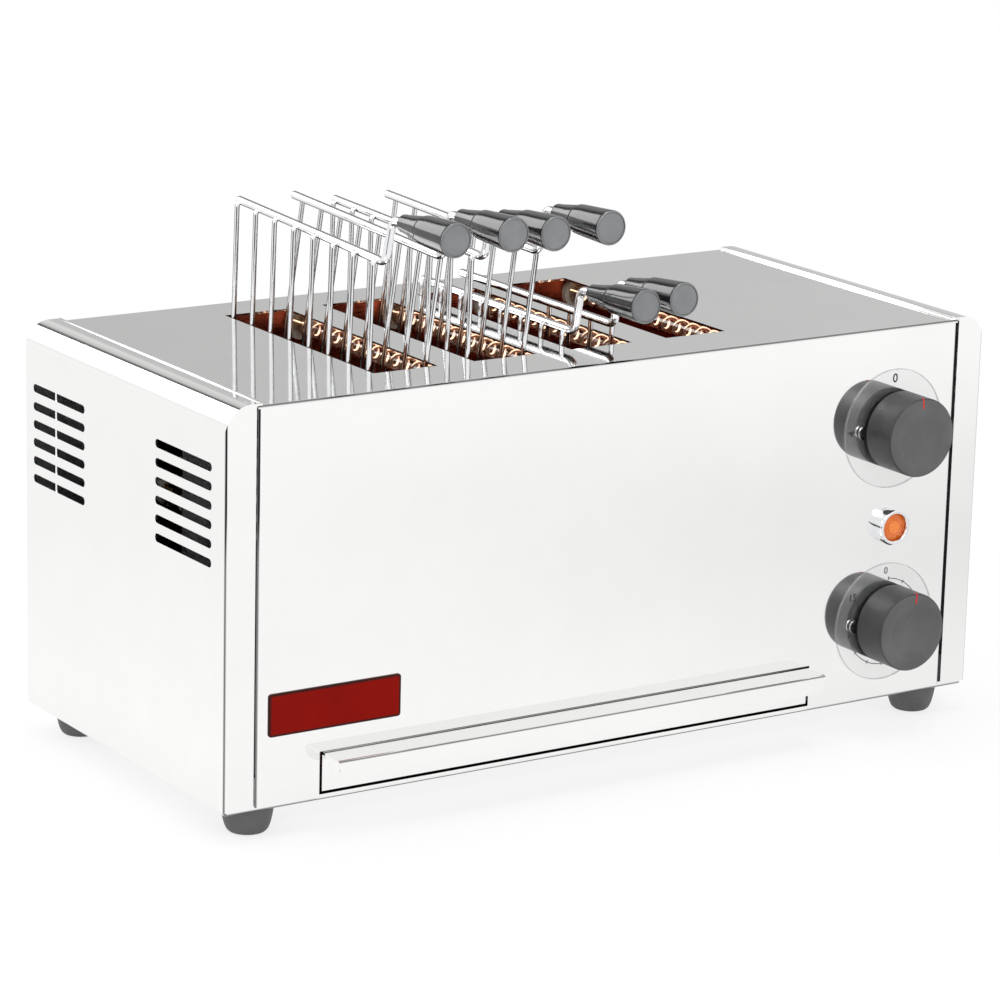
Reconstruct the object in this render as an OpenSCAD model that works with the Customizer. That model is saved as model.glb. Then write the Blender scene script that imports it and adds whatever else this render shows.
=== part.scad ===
// Quartz toaster loaded from above: a stainless casing with four slots, three lift-out sandwich
// tongs, a crumb tray, a selector, a timer and a pilot lamp.
// Inside a module, x is measured from the casing's left end, y from its front face towards the back
// and z from the bottom edge of its end caps. place() then moves the lot into the object's own frame:
// the origin is the centre of the whole footprint, on the surface that the feet stand on.

/* [Casing] */
// Width of the casing, end to end
body_w = 420; // [410:1:460]
// Depth of the casing, front to back
body_d = 192; // [188:1:230]
// Height of the end caps
body_h = 185; // [180:1:220]
// Thickness of the casing sheet
sheet_t = 1; // [0.8:0.1:1.2]
// Outer radius of the tight bends
bend_r = 1.5; // [1.3:0.1:2]
// Width of the end caps' front and back flanges
flange_w = 15.2; // [14:0.1:20]
// Radius of the end caps' rounded top edge
cap_corner_r = 12.5; // [8:0.5:13]
// How far the end caps reach over the top panel
cap_top_w = 18; // [17:0.5:24]
// Gap between an end cap's flange and the panel beside it
panel_gap = 0.8; // [0.5:0.1:1.2]
// Depth of the front panel's returned side edges
return_d = 12; // [8:0.5:14]
// Height of the top panel's turned-down rear edge
rear_turn = 14; // [12:0.5:20]

/* [Vents] */
// Length of one vent slot
vent_len = 51.5; // [40:0.5:54]
// Height of one vent slot
vent_h = 4; // [3:0.1:5]
// Height of the lowest vent's centre line
vent_z = 111.9; // [90:0.1:118]
// Distance from one vent to the next above it
vent_pitch = 8.7; // [7:0.1:9.5]
// Vents in one group
vent_n = 6; // [4:1:6]
// Where the front group of vents starts
vent_front = 12.4; // [10:0.1:16]
// Distance of the back group of vents from the casing's back
vent_back = 8.6; // [8:0.1:30]

/* [Base and feet] */
// Thickness of the base pan
base_t = 1.2; // [1:0.1:1.5]
// How far the base pan hangs below the end caps
base_drop = 2.5; // [2:0.1:3]
// Height of the base pan's turned-up edges above the end caps' bottom edge
base_rim = 14; // [12:0.5:18]
// Height of a foot
foot_h = 13; // [10:0.5:20]
// Radius of a foot where it meets the base
foot_top_r = 12.2; // [10:0.1:14]
// Radius of a foot where it meets the floor
foot_bottom_r = 8.2; // [7.5:0.1:9.5]
// Distance of a foot's axis from the casing's end
foot_x = 21; // [19:0.5:30]
// Distance of a foot's axis from the casing's front or back
foot_y = 15.5; // [15.5:0.5:25]
// Radius of the foot screws' shanks
foot_screw_r = 2; // [1.5:0.1:2.5]

/* [Slots and heating chamber] */
// Distance of the last slot from the right end
slot_x = 132.7; // [128:0.1:136]
// Width of a slot
slot_w = 34; // [33:0.1:36]
// Distance from one slot to the next
slot_pitch = 53.5; // [53:0.1:56]
// Where the slots start behind the front face
slot_y = 30.5; // [29:0.5:36]
// Distance of the slots' rear ends from the casing's back
slot_back = 25.5; // [24:0.5:32]
// Distance from the outer slots to the chamber's side walls
wall_off = 18.5; // [18:0.1:22]
// Distance from the slots' ends to the chamber's front and rear plates
plate_off = 5.5; // [4:0.1:8]
// Height of the chamber walls' bottom edge
chamber_z = 18; // [17:0.5:24]
// Width of the flanges that join the chamber to the top
chamber_flange = 8; // [6:0.5:8]
// Outer radius of a quartz tube
tube_r = 5.25; // [5:0.05:5.6]
// Wall of a quartz tube
tube_wall = 0.75; // [0.6:0.05:0.9]
// Distance of the upper tubes' axes below the top sheet
tube_drop = 8; // [7.8:0.1:14]
// Distance from the upper to the lower tubes
tube_row = 85; // [70:1:95]
// Curls in one heating coil
coil_curls = 15; // [10:1:16]
// Straight length at each end of a heating coil
coil_lead = 12; // [9:0.5:16]
// Radius from the coil's axis to the middle of its wire
coil_r = 3.3; // [3:0.05:3.4]
// Radius of the heating wire
wire_r = 0.6; // [0.5:0.05:0.65]

/* [Tongs] */
// Wires in one jaw
jaw_wires = 8; // [7:1:8]
// Distance of a jaw's last wire from the slot's rear end
jaw_back = 2.3; // [2.3:0.1:10]
// Radius of a jaw's wires
jaw_wire_r = 1.2; // [1.1:0.1:1.4]
// Radius of a jaw's top rod
rod_r = 2; // [1.8:0.1:2.2]
// Height of the fixed jaw's top rod above the hinge pin
rod_h = 132.5; // [126:0.5:140]
// How much higher than that the moving jaw's top rod lies
rod_step = 2; // [0:0.1:3]
// Sideways distance from the hinge pin to the fixed jaw's wires
jaw_in = 7.2; // [7:0.1:7.4]
// Sideways distance from the hinge pin to the moving jaw's wires
jaw_out = 14; // [12:0.1:14.4]
// Clearance between a jaw's wires and the slot's left edge
jaw_gap = 0.4; // [0.3:0.05:0.6]
// Where the first wire hangs behind the front face
tong_y = 41; // [40:0.1:42]
// Height of a lowered tong's top rods above the casing's top
rod_over = 7; // [6:0.5:12]
// How far the top rods run past the last wire
rod_tail = 4; // [3:0.5:8]
// Distance from the first wire forward to the foot of the upright that carries the handle
riser_y = 6.1; // [5.8:0.1:10]
// Height of the upright's upper corner above the top rod
riser_h = 20.3; // [18:0.1:28]
// Angle at which the uprights lean forward
riser_lean = 7; // [4:0.5:9]
// Angle at which the uprights of a tong lean towards each other
riser_in = 3.1; // [0:0.1:3.5]
// Angle at which the handles rise towards their faces
handle_rise = 2.4; // [0:0.1:4]
// Radius of the rod's bends
rod_bend = 5; // [3.5:0.1:5]
// Distance from the upright's upper corner to the handle
handle_gap = 9; // [8:0.1:12]
// Angle of the moving jaw when its tong is lowered
jaw_turn = 3; // [2.8:0.1:3.2]
// Further turn of the moving jaw for each millimetre that its tong is raised
turn_per_mm = 0.076; // [0.07:0.001:0.08]
// How far each tong is raised
tong_lift = [43.8, 41, 0]; // [0:0.1:60]
// How far each tong leans towards the front
tong_tilt = [2.5, 1.8, 0]; // [0:0.1:2.5]
// Radius of the hinge pins
pin_r = 2; // [1.8:0.1:2.1]
// Length of a handle
handle_len = 44; // [40:0.5:50]
// Radius of a handle at its front end
handle_r = 8; // [7.5:0.1:8.4]
// Radius of a handle at its rear end
handle_neck_r = 4.2; // [4:0.1:5]
// Radius of the bars that lowered tongs stand on
bar_r = 2.5; // [2:0.1:3]

/* [Controls] */
// Distance of the controls from the casing's right end
control_x = 52.8; // [50:0.1:56]
// Height of the selector's axis
selector_z = 134.2; // [128:0.1:140]
// Height of the pilot lamp's axis
pilot_z = 86; // [82:0.1:90]
// Height of the timer's axis
timer_z = 37.6; // [36:0.1:42]
// Radius of a knob
knob_r = 19.25; // [18:0.05:20]
// Distance of a knob's face in front of the casing
knob_reach = 22.4; // [20:0.1:26]
// Gap between a knob and its dial
knob_gap = 1.3; // [1.3:0.1:2]
// Radius of a dial
dial_r = 29.25; // [26:0.05:30]
// Thickness of a dial
dial_t = 0.8; // [0.6:0.1:1]
// Radius of the control shafts
shaft_r = 3; // [2.5:0.1:3.2]
// Distance between the two screws of a control
control_screws_w = 37; // [34:0.5:38]
// Angle at which the timer's knob stands, clockwise
timer_turn = 6; // [0:1:300]
// Radius of the pilot lamp's bezel
bezel_r = 9; // [8.5:0.1:10]
// How far the bezel stands out
bezel_reach = 6; // [5:0.1:8]
// Radius of the pilot lamp's lens
lens_r = 7.5; // [7.2:0.1:7.8]
// Radius of the pilot lamp's body
pilot_r = 7; // [6:0.1:7]

/* [Crumb tray and plate] */
// Distance of the tray's front from the left end
tray_x = 50.6; // [48:0.1:54]
// Width of the tray
tray_w = 271; // [260:0.5:272]
// Height of the tray plate's bottom edge
tray_z = 2.5; // [2:0.1:4]
// Height of the tray's handle shelf
tray_top = 20.7; // [19:0.1:24]
// How far the handle shelf stands out
shelf_d = 15; // [12:0.5:20]
// Height of the handle's skirt
skirt_h = 8.7; // [6:0.1:12]
// Radius of the skirt's lower corners
skirt_r = 7; // [3:0.5:7]
// Height of the tray's side walls above its plate's bottom edge
tray_wall = 11.5; // [8:0.5:12]
// Distance of the tray's rear end from the casing's back
tray_back = 10; // [9:0.5:30]
// Name plate's distance from the left end
plate_x = 22.4; // [20:0.1:30]
// Name plate's bottom edge
plate_z = 32; // [30:0.5:60]
// Name plate's width
plate_w = 68.6; // [50:0.1:70]
// Name plate's height
plate_h = 20; // [16:0.5:30]

/* [Hidden] */
$fn = 48;

// Clearances: of a shaft in its bearing, of a screw in its hole, and of pieces that pass each other
fit = 0.05;
hole_gap = 0.25;
air = 0.3;

// Casing
top_z = body_h - sheet_t;
under_z = top_z - sheet_t;
panel_x = flange_w + panel_gap;
panel_w = body_w - 2 * panel_x;
edge_r = bend_r + 0.5;
tuck_x = cap_corner_r + air;
tuck_y = sheet_t + 0.2;
back_y = body_d - sheet_t;
base_top = base_t - base_drop;
floor_z = base_drop + foot_h;

// Screws of the back panel, rails and controls
screw_r = 1.75;
screw_head_r = 3.4;
screw_head_h = 2;
screw_len = 6;
back_screw_z = [base_rim - 8, top_z - rear_turn / 2 - bend_r];
back_screw_x = [40, body_w / 2, body_w - 40];

// Foot screws and nuts
nut_r = 4;
nut_h = 3;
foot_recess = 4;
foot_head_h = 2.2;

// Slots and heating chamber
slot_n = 4;
slot_len = body_d - slot_y - slot_back;
slots_end = body_w - slot_x;
slots_start = slots_end - (slot_n - 1) * slot_pitch - slot_w;
wall_left = slots_start - wall_off - sheet_t;
wall_right = slots_end + wall_off + sheet_t;
chamber_w = wall_right - wall_left;
plate_front = slot_y - plate_off;
plate_rear = slot_y + slot_len + plate_off;
chamber_h = under_z - chamber_z;
tube_z = [under_z - tube_drop, under_z - tube_drop - tube_row];
tube_x = [for (i = [0:slot_n]) slots_start + slot_w / 2 + (i - 0.5) * slot_pitch];

// Ceramic ends of the tubes: a collar inside the chamber, a body through the plate, and a pocket
collar_r = 7.6;
collar_t = 3;
ceramic_r = 6.6;
ceramic_out = 10;
pocket_d = 9;
stud_r = 1.5;
stud_out = 5.5;
bus_t = 1;
bus_w = 9;
bus_tab = 11;
pocket_out = pocket_d - collar_t;
coil_len = plate_rear - plate_front + 2 * pocket_out;
coil_pitch = (coil_len - 2 * coil_lead) / coil_curls;

// Tongs
hinge_down = top_z + rod_over - rod_h;
hinge_off = jaw_gap + jaw_wire_r + jaw_in;
rod_off = jaw_wire_r + rod_r - 0.2;
grid_len = slot_y + slot_len - jaw_back - tong_y;
jaw_pitch = grid_len / (jaw_wires - 1);
eye_r = 3.6;
eye_at = [1.5, 3.5, 5.5];
eye_half = jaw_wire_r + 0.2;
low_bend = rod_bend * tan((90 - riser_lean) / 2);
high_bend = rod_bend * tan((90 - riser_lean - handle_rise) / 2);
seam = 0.05;
handle_step = 24;
handle_mid_r = 6.9;
handle_round = 2;
handle_bore = 30;
jaw_low = jaw_out * sin(jaw_turn) + jaw_wire_r;
bar_z = hinge_down - jaw_low - air - bar_r;
bar_y = [tong_y + 0.5 * jaw_pitch, tong_y + (jaw_wires - 1.5) * jaw_pitch];

// Controls
ctl_x = body_w - control_x;
switch_w = 44;
switch_h = 40;
switch_d = 38;
timer_r = 23;
timer_d = 30;
shaft_in = 10;
screw_bore = 8;
knob_base = dial_t + knob_gap;
knob_h = knob_reach - knob_base;
knob_wall = 2.2;
hub_r = 6;
hub_bore = 14;
blade_w = 6.3;
blade_t = 0.8;
blade_len = 8;
blade_off = 10;
pilot_off = 4;
pilot_d = 24;
lead_r = 1.3;
head_t = 1;

// Crumb tray and its rails
tray_t = 0.8;
tray_len = body_d - sheet_t - tray_back;
tray_gap = 1.4;
rail_t = 1;
rail_foot = 18;
rail_lip = 8;
rail_front = 6;
rail_back = 6;
rail_air = 0.5;
rail_screw_x = 12;
rail_screw_y = 8;
rail_web = tray_x - rail_air - rail_t;
rail_right = tray_x + tray_w + rail_air + rail_t;

// Gland and terminal block
gland_x = body_w - 55;
gland_z = 40;
gland_hole = 8;
gland_bore = 4;
gland_out = 13;
block = [20, 40, 16];
block_poles = 3;
pole_pitch = 12;
pole_off = 5.5;
block_gap = 5;
block_at = [rail_right + rail_foot - rail_t + block_gap, body_d - 84, base_top];

// The object's own frame
front_reach = max([for (i = [0:2], turn = [0, tong_angle(i)]) handle_front(i, turn)]);
row_y = (front_reach - body_d - gland_out) / 2;

// How far a handle's face reaches in front of the casing, on the jaw that is turned by this angle
function handle_front(i, turn) = let(
    run = handle_gap + handle_len,
    y = riser_y + riser_h * tan(riser_lean) + run * cos(handle_rise),
    up = rod_h + (turn > 0 ? rod_step : 0) + (riser_h + run * sin(handle_rise)) * cos(riser_in),
    z = up * cos(turn) - (jaw_out - rod_off) * sin(turn))
    y * cos(tong_tilt[i]) + z * sin(tong_tilt[i]) + handle_r * abs(sin(handle_rise - tong_tilt[i])) - tong_y;
function tong_x(i) = slots_start + i * slot_pitch + hinge_off;
function tong_angle(i) = jaw_turn + turn_per_mm * tong_lift[i];

module place() translate([-body_w / 2, row_y, floor_z]) children();
module along_x(len) rotate([90, 0, 90]) linear_extrude(len) children();
module along_y(len) translate([0, len, 0]) rotate([90, 0, 0]) linear_extrude(len) children();
module to_back(p) translate(p) rotate([-90, 0, 0]) children();
module to_front(p) translate(p) rotate([90, 0, 0]) children();
module mirror_x(at) translate([2 * at, 0, 0]) mirror([1, 0, 0]) children();

// A rectangle with its first corner rounded
module one_round(w, h, r) {
    translate([r, 0]) square([w - r, h]);
    translate([0, r]) square([w, h - r]);
    translate([r, r]) circle(r);
}

// A rectangle with the two corners on its lower side rounded
module two_round(w, h, r) {
    translate([r, 0]) square([w - 2 * r, h]);
    translate([0, r]) square([w, h - r]);
    for (x = [r, w - r]) translate([x, r]) circle(r);
}

// A rectangle with all its corners rounded
module four_round(w, h, r) {
    translate([r, 0]) square([w - 2 * r, h]);
    translate([0, r]) square([w, h - 2 * r]);
    for (x = [r, w - r], y = [r, h - r]) translate([x, y]) circle(r);
}

// Casing

module vent(len) four_round(len, vent_h, vent_h / 2 - 0.001);

module end_cap() difference() {
    intersection() {
        along_y(body_d) translate([0, body_h]) mirror([0, 1]) one_round(cap_top_w, body_h, cap_corner_r);
        linear_extrude(body_h) translate([0, body_d]) rotate(-90) two_round(body_d, cap_top_w, bend_r);
    }
    intersection() {
        along_y(body_d) translate([sheet_t, top_z]) mirror([0, 1])
            one_round(cap_top_w, body_h + 1, cap_corner_r - sheet_t);
        translate([sheet_t, back_y, -1]) linear_extrude(body_h + 2) rotate(-90)
            two_round(body_d - 2 * sheet_t, cap_top_w, bend_r - sheet_t);
    }
    translate([flange_w, -1, -1]) cube([cap_top_w, body_d + 2, top_z + 1]);
    for (y = [vent_front, body_d - vent_back - vent_len], i = [0:vent_n - 1])
        translate([-1, y, vent_z + i * vent_pitch - vent_h / 2]) along_x(sheet_t + 2) vent(vent_len);
}

// The top and its turned-down rear edge, from the front bend upwards
module top_section() difference() {
    translate([0, top_z]) mirror([0, 1]) two_round(body_d - sheet_t, rear_turn + bend_r, bend_r);
    translate([sheet_t, under_z]) mirror([0, 1]) two_round(body_d - 3 * sheet_t, rear_turn + 3, bend_r - sheet_t);
    translate([-1, 0]) square([2 * sheet_t + 1, top_z - bend_r]);
}

module front_section() difference() {
    two_round(panel_w, return_d, edge_r);
    translate([sheet_t, sheet_t]) two_round(panel_w - 2 * sheet_t, return_d, edge_r - sheet_t);
}

module control_holes() {
    for (z = [selector_z, timer_z]) {
        to_back([ctl_x, -1, z]) cylinder(h = sheet_t + 2, r = shaft_r + 2);
        for (s = [-1, 1]) to_back([ctl_x + s * control_screws_w / 2, -1, z])
            cylinder(h = sheet_t + 2, r = screw_r + hole_gap);
    }
    to_back([ctl_x, -1, pilot_z]) cylinder(h = sheet_t + 2, r = pilot_r + hole_gap);
}

module slot_cuts() for (i = [0:slot_n - 1])
    translate([slots_start + i * slot_pitch, slot_y, under_z - 1]) cube([slot_w, slot_len, sheet_t + 2]);

// The front with its side edges turned back. It meets the top's bend in a polished butt seam.
module front_blank() translate([panel_x, 0, 0]) linear_extrude(top_z - bend_r) front_section();

module top_blank() {
    translate([panel_x, 0, 0]) along_x(panel_w) top_section();
    translate([tuck_x, tuck_y, under_z]) cube([body_w - 2 * tuck_x, body_d - 2 * tuck_y, sheet_t]);
}

module left_end_cap() color([0.93, 0.93, 0.93]) place() end_cap();

module right_end_cap() color([0.93, 0.93, 0.93]) place() mirror_x(body_w / 2) end_cap();

module front_panel() color([0.93, 0.93, 0.93]) place() difference() {
    front_blank();
    control_holes();
    translate([tray_x - tray_gap, -1, -1])
        cube([tray_w + 2 * tray_gap, sheet_t + 2, tray_top + 0.6 + 1]);
    translate([0, sheet_t, -1]) cube([body_w, return_d, base_rim + 3]);
}

module top_panel() color([0.8, 0.8, 0.8]) place() difference() {
    top_blank();
    slot_cuts();
    for (x = back_screw_x) to_back([x, back_y - sheet_t - 1, back_screw_z[1]])
        cylinder(h = sheet_t + 2, r = screw_r + fit);
}

module back_panel() color([0.88, 0.88, 0.88]) place() difference() {
    translate([panel_x, back_y, 0]) cube([panel_w, sheet_t, top_z - bend_r]);
    for (x = back_screw_x, z = back_screw_z) to_back([x, back_y - 1, z])
        cylinder(h = sheet_t + 2, r = screw_r + hole_gap);
    to_back([gland_x, back_y - 1, gland_z]) cylinder(h = sheet_t + 2, r = gland_hole + hole_gap);
}

// A screw along +Z, its head below z = 0
module cross_screw(r, len, head_r, head_h) difference() {
    union() {
        cylinder(h = len, r = r);
        translate([0, 0, -head_h]) cylinder(h = head_h, r = head_r);
    }
    for (a = [0, 90]) rotate(a) translate([-head_r * 0.6, -0.4, -head_h - 1])
        cube([head_r * 1.2, 0.8, head_h * 0.6 + 1]);
}

module back_panel_screws() color([0.75, 0.75, 0.75]) place()
    for (x = back_screw_x, z = back_screw_z) to_front([x, body_d, z])
        cross_screw(screw_r, screw_len, screw_head_r, screw_head_h);

module pan_blank(g, r, h) intersection() {
    along_y(body_d) translate([g, -base_drop + g - sheet_t]) two_round(body_w - 2 * g, h, r);
    along_x(body_w) translate([g, -base_drop + g - sheet_t]) two_round(body_d - 2 * g, h, r);
    translate([g, g, -base_drop]) linear_extrude(h) four_round(body_w - 2 * g, body_d - 2 * g, r);
}

module base_pan() color([0.85, 0.85, 0.85]) place() difference() {
    pan_blank(sheet_t, bend_r + 1, base_rim + base_drop);
    pan_blank(sheet_t + base_t, bend_r, base_rim + base_drop + 2);
    translate([tray_x - 2, -1, base_top]) cube([tray_w + 4, 2 * sheet_t + base_t, base_rim + 9]);
    for (x = back_screw_x) to_back([x, back_y - base_t - 1, back_screw_z[0]])
        cylinder(h = base_t + 2, r = screw_r + fit);
    for (x = [foot_x, body_w - foot_x], y = [foot_y, body_d - foot_y])
        translate([x, y, -base_drop - 1]) cylinder(h = base_t + 2, r = foot_screw_r + hole_gap);
    for (p = rail_points) translate([p.x, p.y, -base_drop - 1])
        cylinder(h = base_t + 2, r = screw_r + hole_gap);
}

// The rubber foot's outline: straight to the shoulder, then drawn in to a rounded edge
foot_outline = concat([[0, 0], [foot_top_r, 0]],
    [for (k = [0:6]) [foot_top_r - (foot_top_r - foot_bottom_r) * (1 - cos(15 * k)), -foot_h * 0.72 * k / 6]],
    [for (k = [1:6]) [foot_bottom_r - 2 * (1 - cos(15 * k)), -foot_h * (0.72 + 0.28 * sin(15 * k))]],
    [[0, -foot_h]]);

module at_feet() for (x = [foot_x, body_w - foot_x], y = [foot_y, body_d - foot_y])
    translate([x, y, -base_drop]) children();

module rubber_feet() color([0.4, 0.4, 0.4]) place() at_feet() difference() {
    rotate_extrude() polygon(foot_outline);
    translate([0, 0, -foot_h - 1]) cylinder(h = foot_h + 2, r = foot_screw_r + fit);
    translate([0, 0, -foot_h - 1]) cylinder(h = foot_recess + foot_head_h + 1, r = nut_r + hole_gap);
}

module foot_screws() color([0.7, 0.7, 0.7]) place() at_feet()
    translate([0, 0, foot_recess + foot_head_h - foot_h])
        cross_screw(foot_screw_r, foot_h - foot_recess - foot_head_h + base_t + nut_h + 1, nut_r, foot_head_h);

module name_plate() color([0.55, 0.08, 0.04]) place()
    translate([plate_x, -0.8, plate_z]) along_y(0.8) four_round(plate_w, plate_h, 1.5);

// Crumb tray

// The plate, the shelf above it and the skirt, seen from the side, with the front face at y = 0
module tray_front_section() {
    translate([0, tray_z]) square([sheet_t, tray_top - tray_z]);
    translate([-shelf_d, tray_top]) mirror([0, 1]) difference() {
        one_round(shelf_d + sheet_t, skirt_h, bend_r);
        translate([sheet_t, sheet_t]) one_round(shelf_d + sheet_t, skirt_h, bend_r - sheet_t);
    }
}

module crumb_tray_front() color([0.93, 0.93, 0.93]) place() difference() {
    translate([tray_x, 0, 0]) along_x(tray_w) tray_front_section();
    for (s = [0, 1]) translate([tray_x + tray_w / 2, 0, 0]) mirror([s, 0, 0])
        translate([-tray_w / 2 - 1, -shelf_d - 1, tray_top - skirt_h - 1]) difference() {
            cube([skirt_r + 1, 2 + sheet_t, skirt_r + 1]);
            to_back([skirt_r + 1, 0, skirt_r + 1]) cylinder(h = 3 + sheet_t, r = skirt_r);
        }
}

module crumb_tray_pan() color([0.8, 0.8, 0.8]) place()
    translate([tray_x, sheet_t, tray_z + 0.5]) difference() {
        cube([tray_w, tray_len, tray_wall]);
        translate([tray_t, tray_t, tray_t]) cube([tray_w - 2 * tray_t, tray_len - 2 * tray_t, tray_wall]);
    }

rail_points = [for (x = [rail_web - rail_screw_x, rail_right + rail_screw_x],
    y = [rail_front + rail_screw_y, back_y - rail_back - rail_screw_y]) [x, y]];

// The left rail: a foot on the base, a guide beside the tray and a lip under its edge
module rail_section() {
    translate([rail_web + rail_t - rail_foot, base_top]) square([rail_foot, rail_t]);
    translate([rail_web, base_top]) square([rail_t, tray_wall - base_top]);
    translate([rail_web, tray_z + 0.5 - air - rail_t]) square([rail_lip + rail_t, rail_t]);
}

module one_rail() translate([0, rail_front, 0]) along_y(back_y - rail_back - rail_front) rail_section();

module tray_rails() color([0.75, 0.75, 0.75]) place() difference() {
    union() {
        one_rail();
        mirror_x(tray_x + tray_w / 2) one_rail();
    }
    for (p = rail_points) translate([p.x, p.y, base_top - 1])
        cylinder(h = rail_t + 2, r = screw_r + fit);
}

module rail_screws() color([0.75, 0.75, 0.75]) place()
    for (p = rail_points) translate([p.x, p.y, -base_drop])
        cross_screw(screw_r, base_t + rail_t + 2, screw_head_r, screw_head_h);

// Heating chamber

module at_tubes(rows) for (z = rows, x = tube_x) translate([x, 0, z]) children();

// The front plate: its inner face is at y = 0, its flange turns away from the chamber
module tube_plate() translate([wall_left, 0, 0]) along_x(chamber_w)
    translate([0, under_z]) mirror([1, 1]) difference() {
        one_round(chamber_h, chamber_flange, bend_r);
        translate([sheet_t, sheet_t]) one_round(chamber_h + 1, chamber_flange, bend_r - sheet_t);
    }

module plate_holes(y) at_tubes(tube_z) to_back([0, y - 2, 0])
    cylinder(h = sheet_t + 4, r = ceramic_r + hole_gap);

module chamber_front_plate() color([0.82, 0.8, 0.78]) place() difference() {
    translate([0, plate_front, 0]) tube_plate();
    plate_holes(plate_front - sheet_t);
}

module chamber_rear_plate() color([0.82, 0.8, 0.78]) place() difference() {
    translate([0, plate_rear, 0]) mirror([0, 1, 0]) tube_plate();
    plate_holes(plate_rear);
}

// The left wall: its flange turns away from the chamber
module side_wall() difference() {
    translate([wall_left + sheet_t, plate_front, under_z]) along_y(plate_rear - plate_front)
        mirror([1, 1]) rotate(-90) mirror([1, 0]) difference() {
            one_round(chamber_flange, chamber_h, bend_r);
            translate([sheet_t, sheet_t]) one_round(chamber_flange, chamber_h + 1, bend_r - sheet_t);
        }
    for (y = bar_y) translate([wall_left - 1, y, bar_z]) rotate([0, 90, 0])
        cylinder(h = sheet_t + 2, r = bar_r + fit);
}

module chamber_left_wall() color([0.82, 0.8, 0.78]) place() side_wall();

module chamber_right_wall() color([0.82, 0.8, 0.78]) place() mirror_x((wall_left + wall_right) / 2) side_wall();

module tong_rest_bars() color([0.8, 0.8, 0.8]) place()
    for (y = bar_y) translate([wall_left, y, bar_z]) rotate([0, 90, 0]) cylinder(h = chamber_w, r = bar_r);

module tube_shell() to_back([0, plate_front - pocket_out + air, 0]) difference() {
    cylinder(h = coil_len - 2 * air, r = tube_r);
    translate([0, 0, -1]) cylinder(h = coil_len + 2, r = tube_r - tube_wall);
}

module upper_quartz_tubes() color([0.6, 0.25, 0.15]) place() at_tubes([tube_z[0]]) tube_shell();

module lower_quartz_tubes() color([0.6, 0.25, 0.15]) place() at_tubes([tube_z[1]]) tube_shell();

// One heating coil as a single unbroken tube: it runs straight out of one end cap, winds, and runs
// straight into the other. A station is its angle, its place along the axis and how far it has turned
// from the axis into the winding.
coil_sides = 6;
coil_rings = 8;
coil_stations = concat([[0, 0, 0], [0, coil_lead - 1.2, 0], [0, coil_lead, 0.5]],
    [for (k = [1:coil_rings * coil_curls - 1])
        [360 * k / coil_rings, coil_lead + coil_pitch * k / coil_rings, 1]],
    [[0, coil_len - coil_lead, 0.5], [0, coil_len - coil_lead + 1.2, 0], [0, coil_len, 0]]);

function unit(v) = v / norm(v);
function coil_dir(s) = unit((1 - s[2]) * [0, 1, 0]
    + s[2] * unit([-2 * PI * coil_r * sin(s[0]), coil_pitch, 2 * PI * coil_r * cos(s[0])]));
function coil_mid(s) = [coil_r * cos(s[0]), s[1], coil_r * sin(s[0])];
function coil_ring(s) = let(n = [cos(s[0]), 0, sin(s[0])], t = coil_dir(s), b = cross(t, n))
    [for (j = [0:coil_sides - 1]) coil_mid(s)
        + wire_r * (cos(360 * j / coil_sides) * n + sin(360 * j / coil_sides) * b)];
function tube_faces(rings, sides) = concat(
    [for (j = [1:sides - 2]) [0, j, j + 1]],
    [for (j = [1:sides - 2]) [(rings - 1) * sides, (rings - 1) * sides + j + 1, (rings - 1) * sides + j]],
    [for (i = [0:rings - 2], j = [0:sides - 1], h = [0, 1])
        let(a = i * sides + j, b = i * sides + (j + 1) % sides)
            h == 0 ? [a, a + sides, b + sides] : [a, b + sides, b]]);

coil_mids = [for (s = coil_stations) coil_mid(s)];
coil_self_gap = min([for (i = [0:len(coil_mids) - 1], j = [i + 5:1:len(coil_mids) - 1])
    norm(coil_mids[i] - coil_mids[j])]) - 2 * wire_r;
echo(coil_least_gap_to_itself = coil_self_gap, coil_gap_to_tube = tube_r - tube_wall - coil_r - wire_r);

module coil() translate([0, plate_front - pocket_out, 0]) polyhedron(
    points = [for (s = coil_stations) each coil_ring(s)],
    faces = tube_faces(len(coil_stations), coil_sides));

module upper_heater_coils() color([1, 0.85, 0.7]) place() at_tubes([tube_z[0]]) coil();

module lower_heater_coils() color([1, 0.85, 0.7]) place() at_tubes([tube_z[1]])
    to_back([0, plate_front - pocket_out, 0]) cylinder(h = coil_len, r = coil_r + wire_r);

// One tube end: z = 0 is the chamber plate's inner face and +Z points out of the chamber
module ceramic_end() difference() {
    union() {
        translate([0, 0, -collar_t]) cylinder(h = collar_t, r = collar_r);
        cylinder(h = ceramic_out, r = ceramic_r);
    }
    translate([0, 0, -collar_t - 1]) cylinder(h = pocket_d + 1, r = tube_r + fit);
    cylinder(h = ceramic_out + 1, r = stud_r + fit);
}

module at_ends(rows) {
    at_tubes(rows) to_front([0, plate_front, 0]) children();
    at_tubes(rows) to_back([0, plate_rear, 0]) children();
}

module ceramic_end_caps() color([0.93, 0.91, 0.86]) place() at_ends(tube_z) ceramic_end();

module terminal_studs() color([0.8, 0.7, 0.4]) place() at_ends(tube_z)
    translate([0, 0, pocket_out]) cylinder(h = ceramic_out - pocket_out + stud_out, r = stud_r);

module bus_hole() translate([0, 0, ceramic_out - 1]) cylinder(h = bus_t + 2, r = stud_r + fit);

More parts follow.
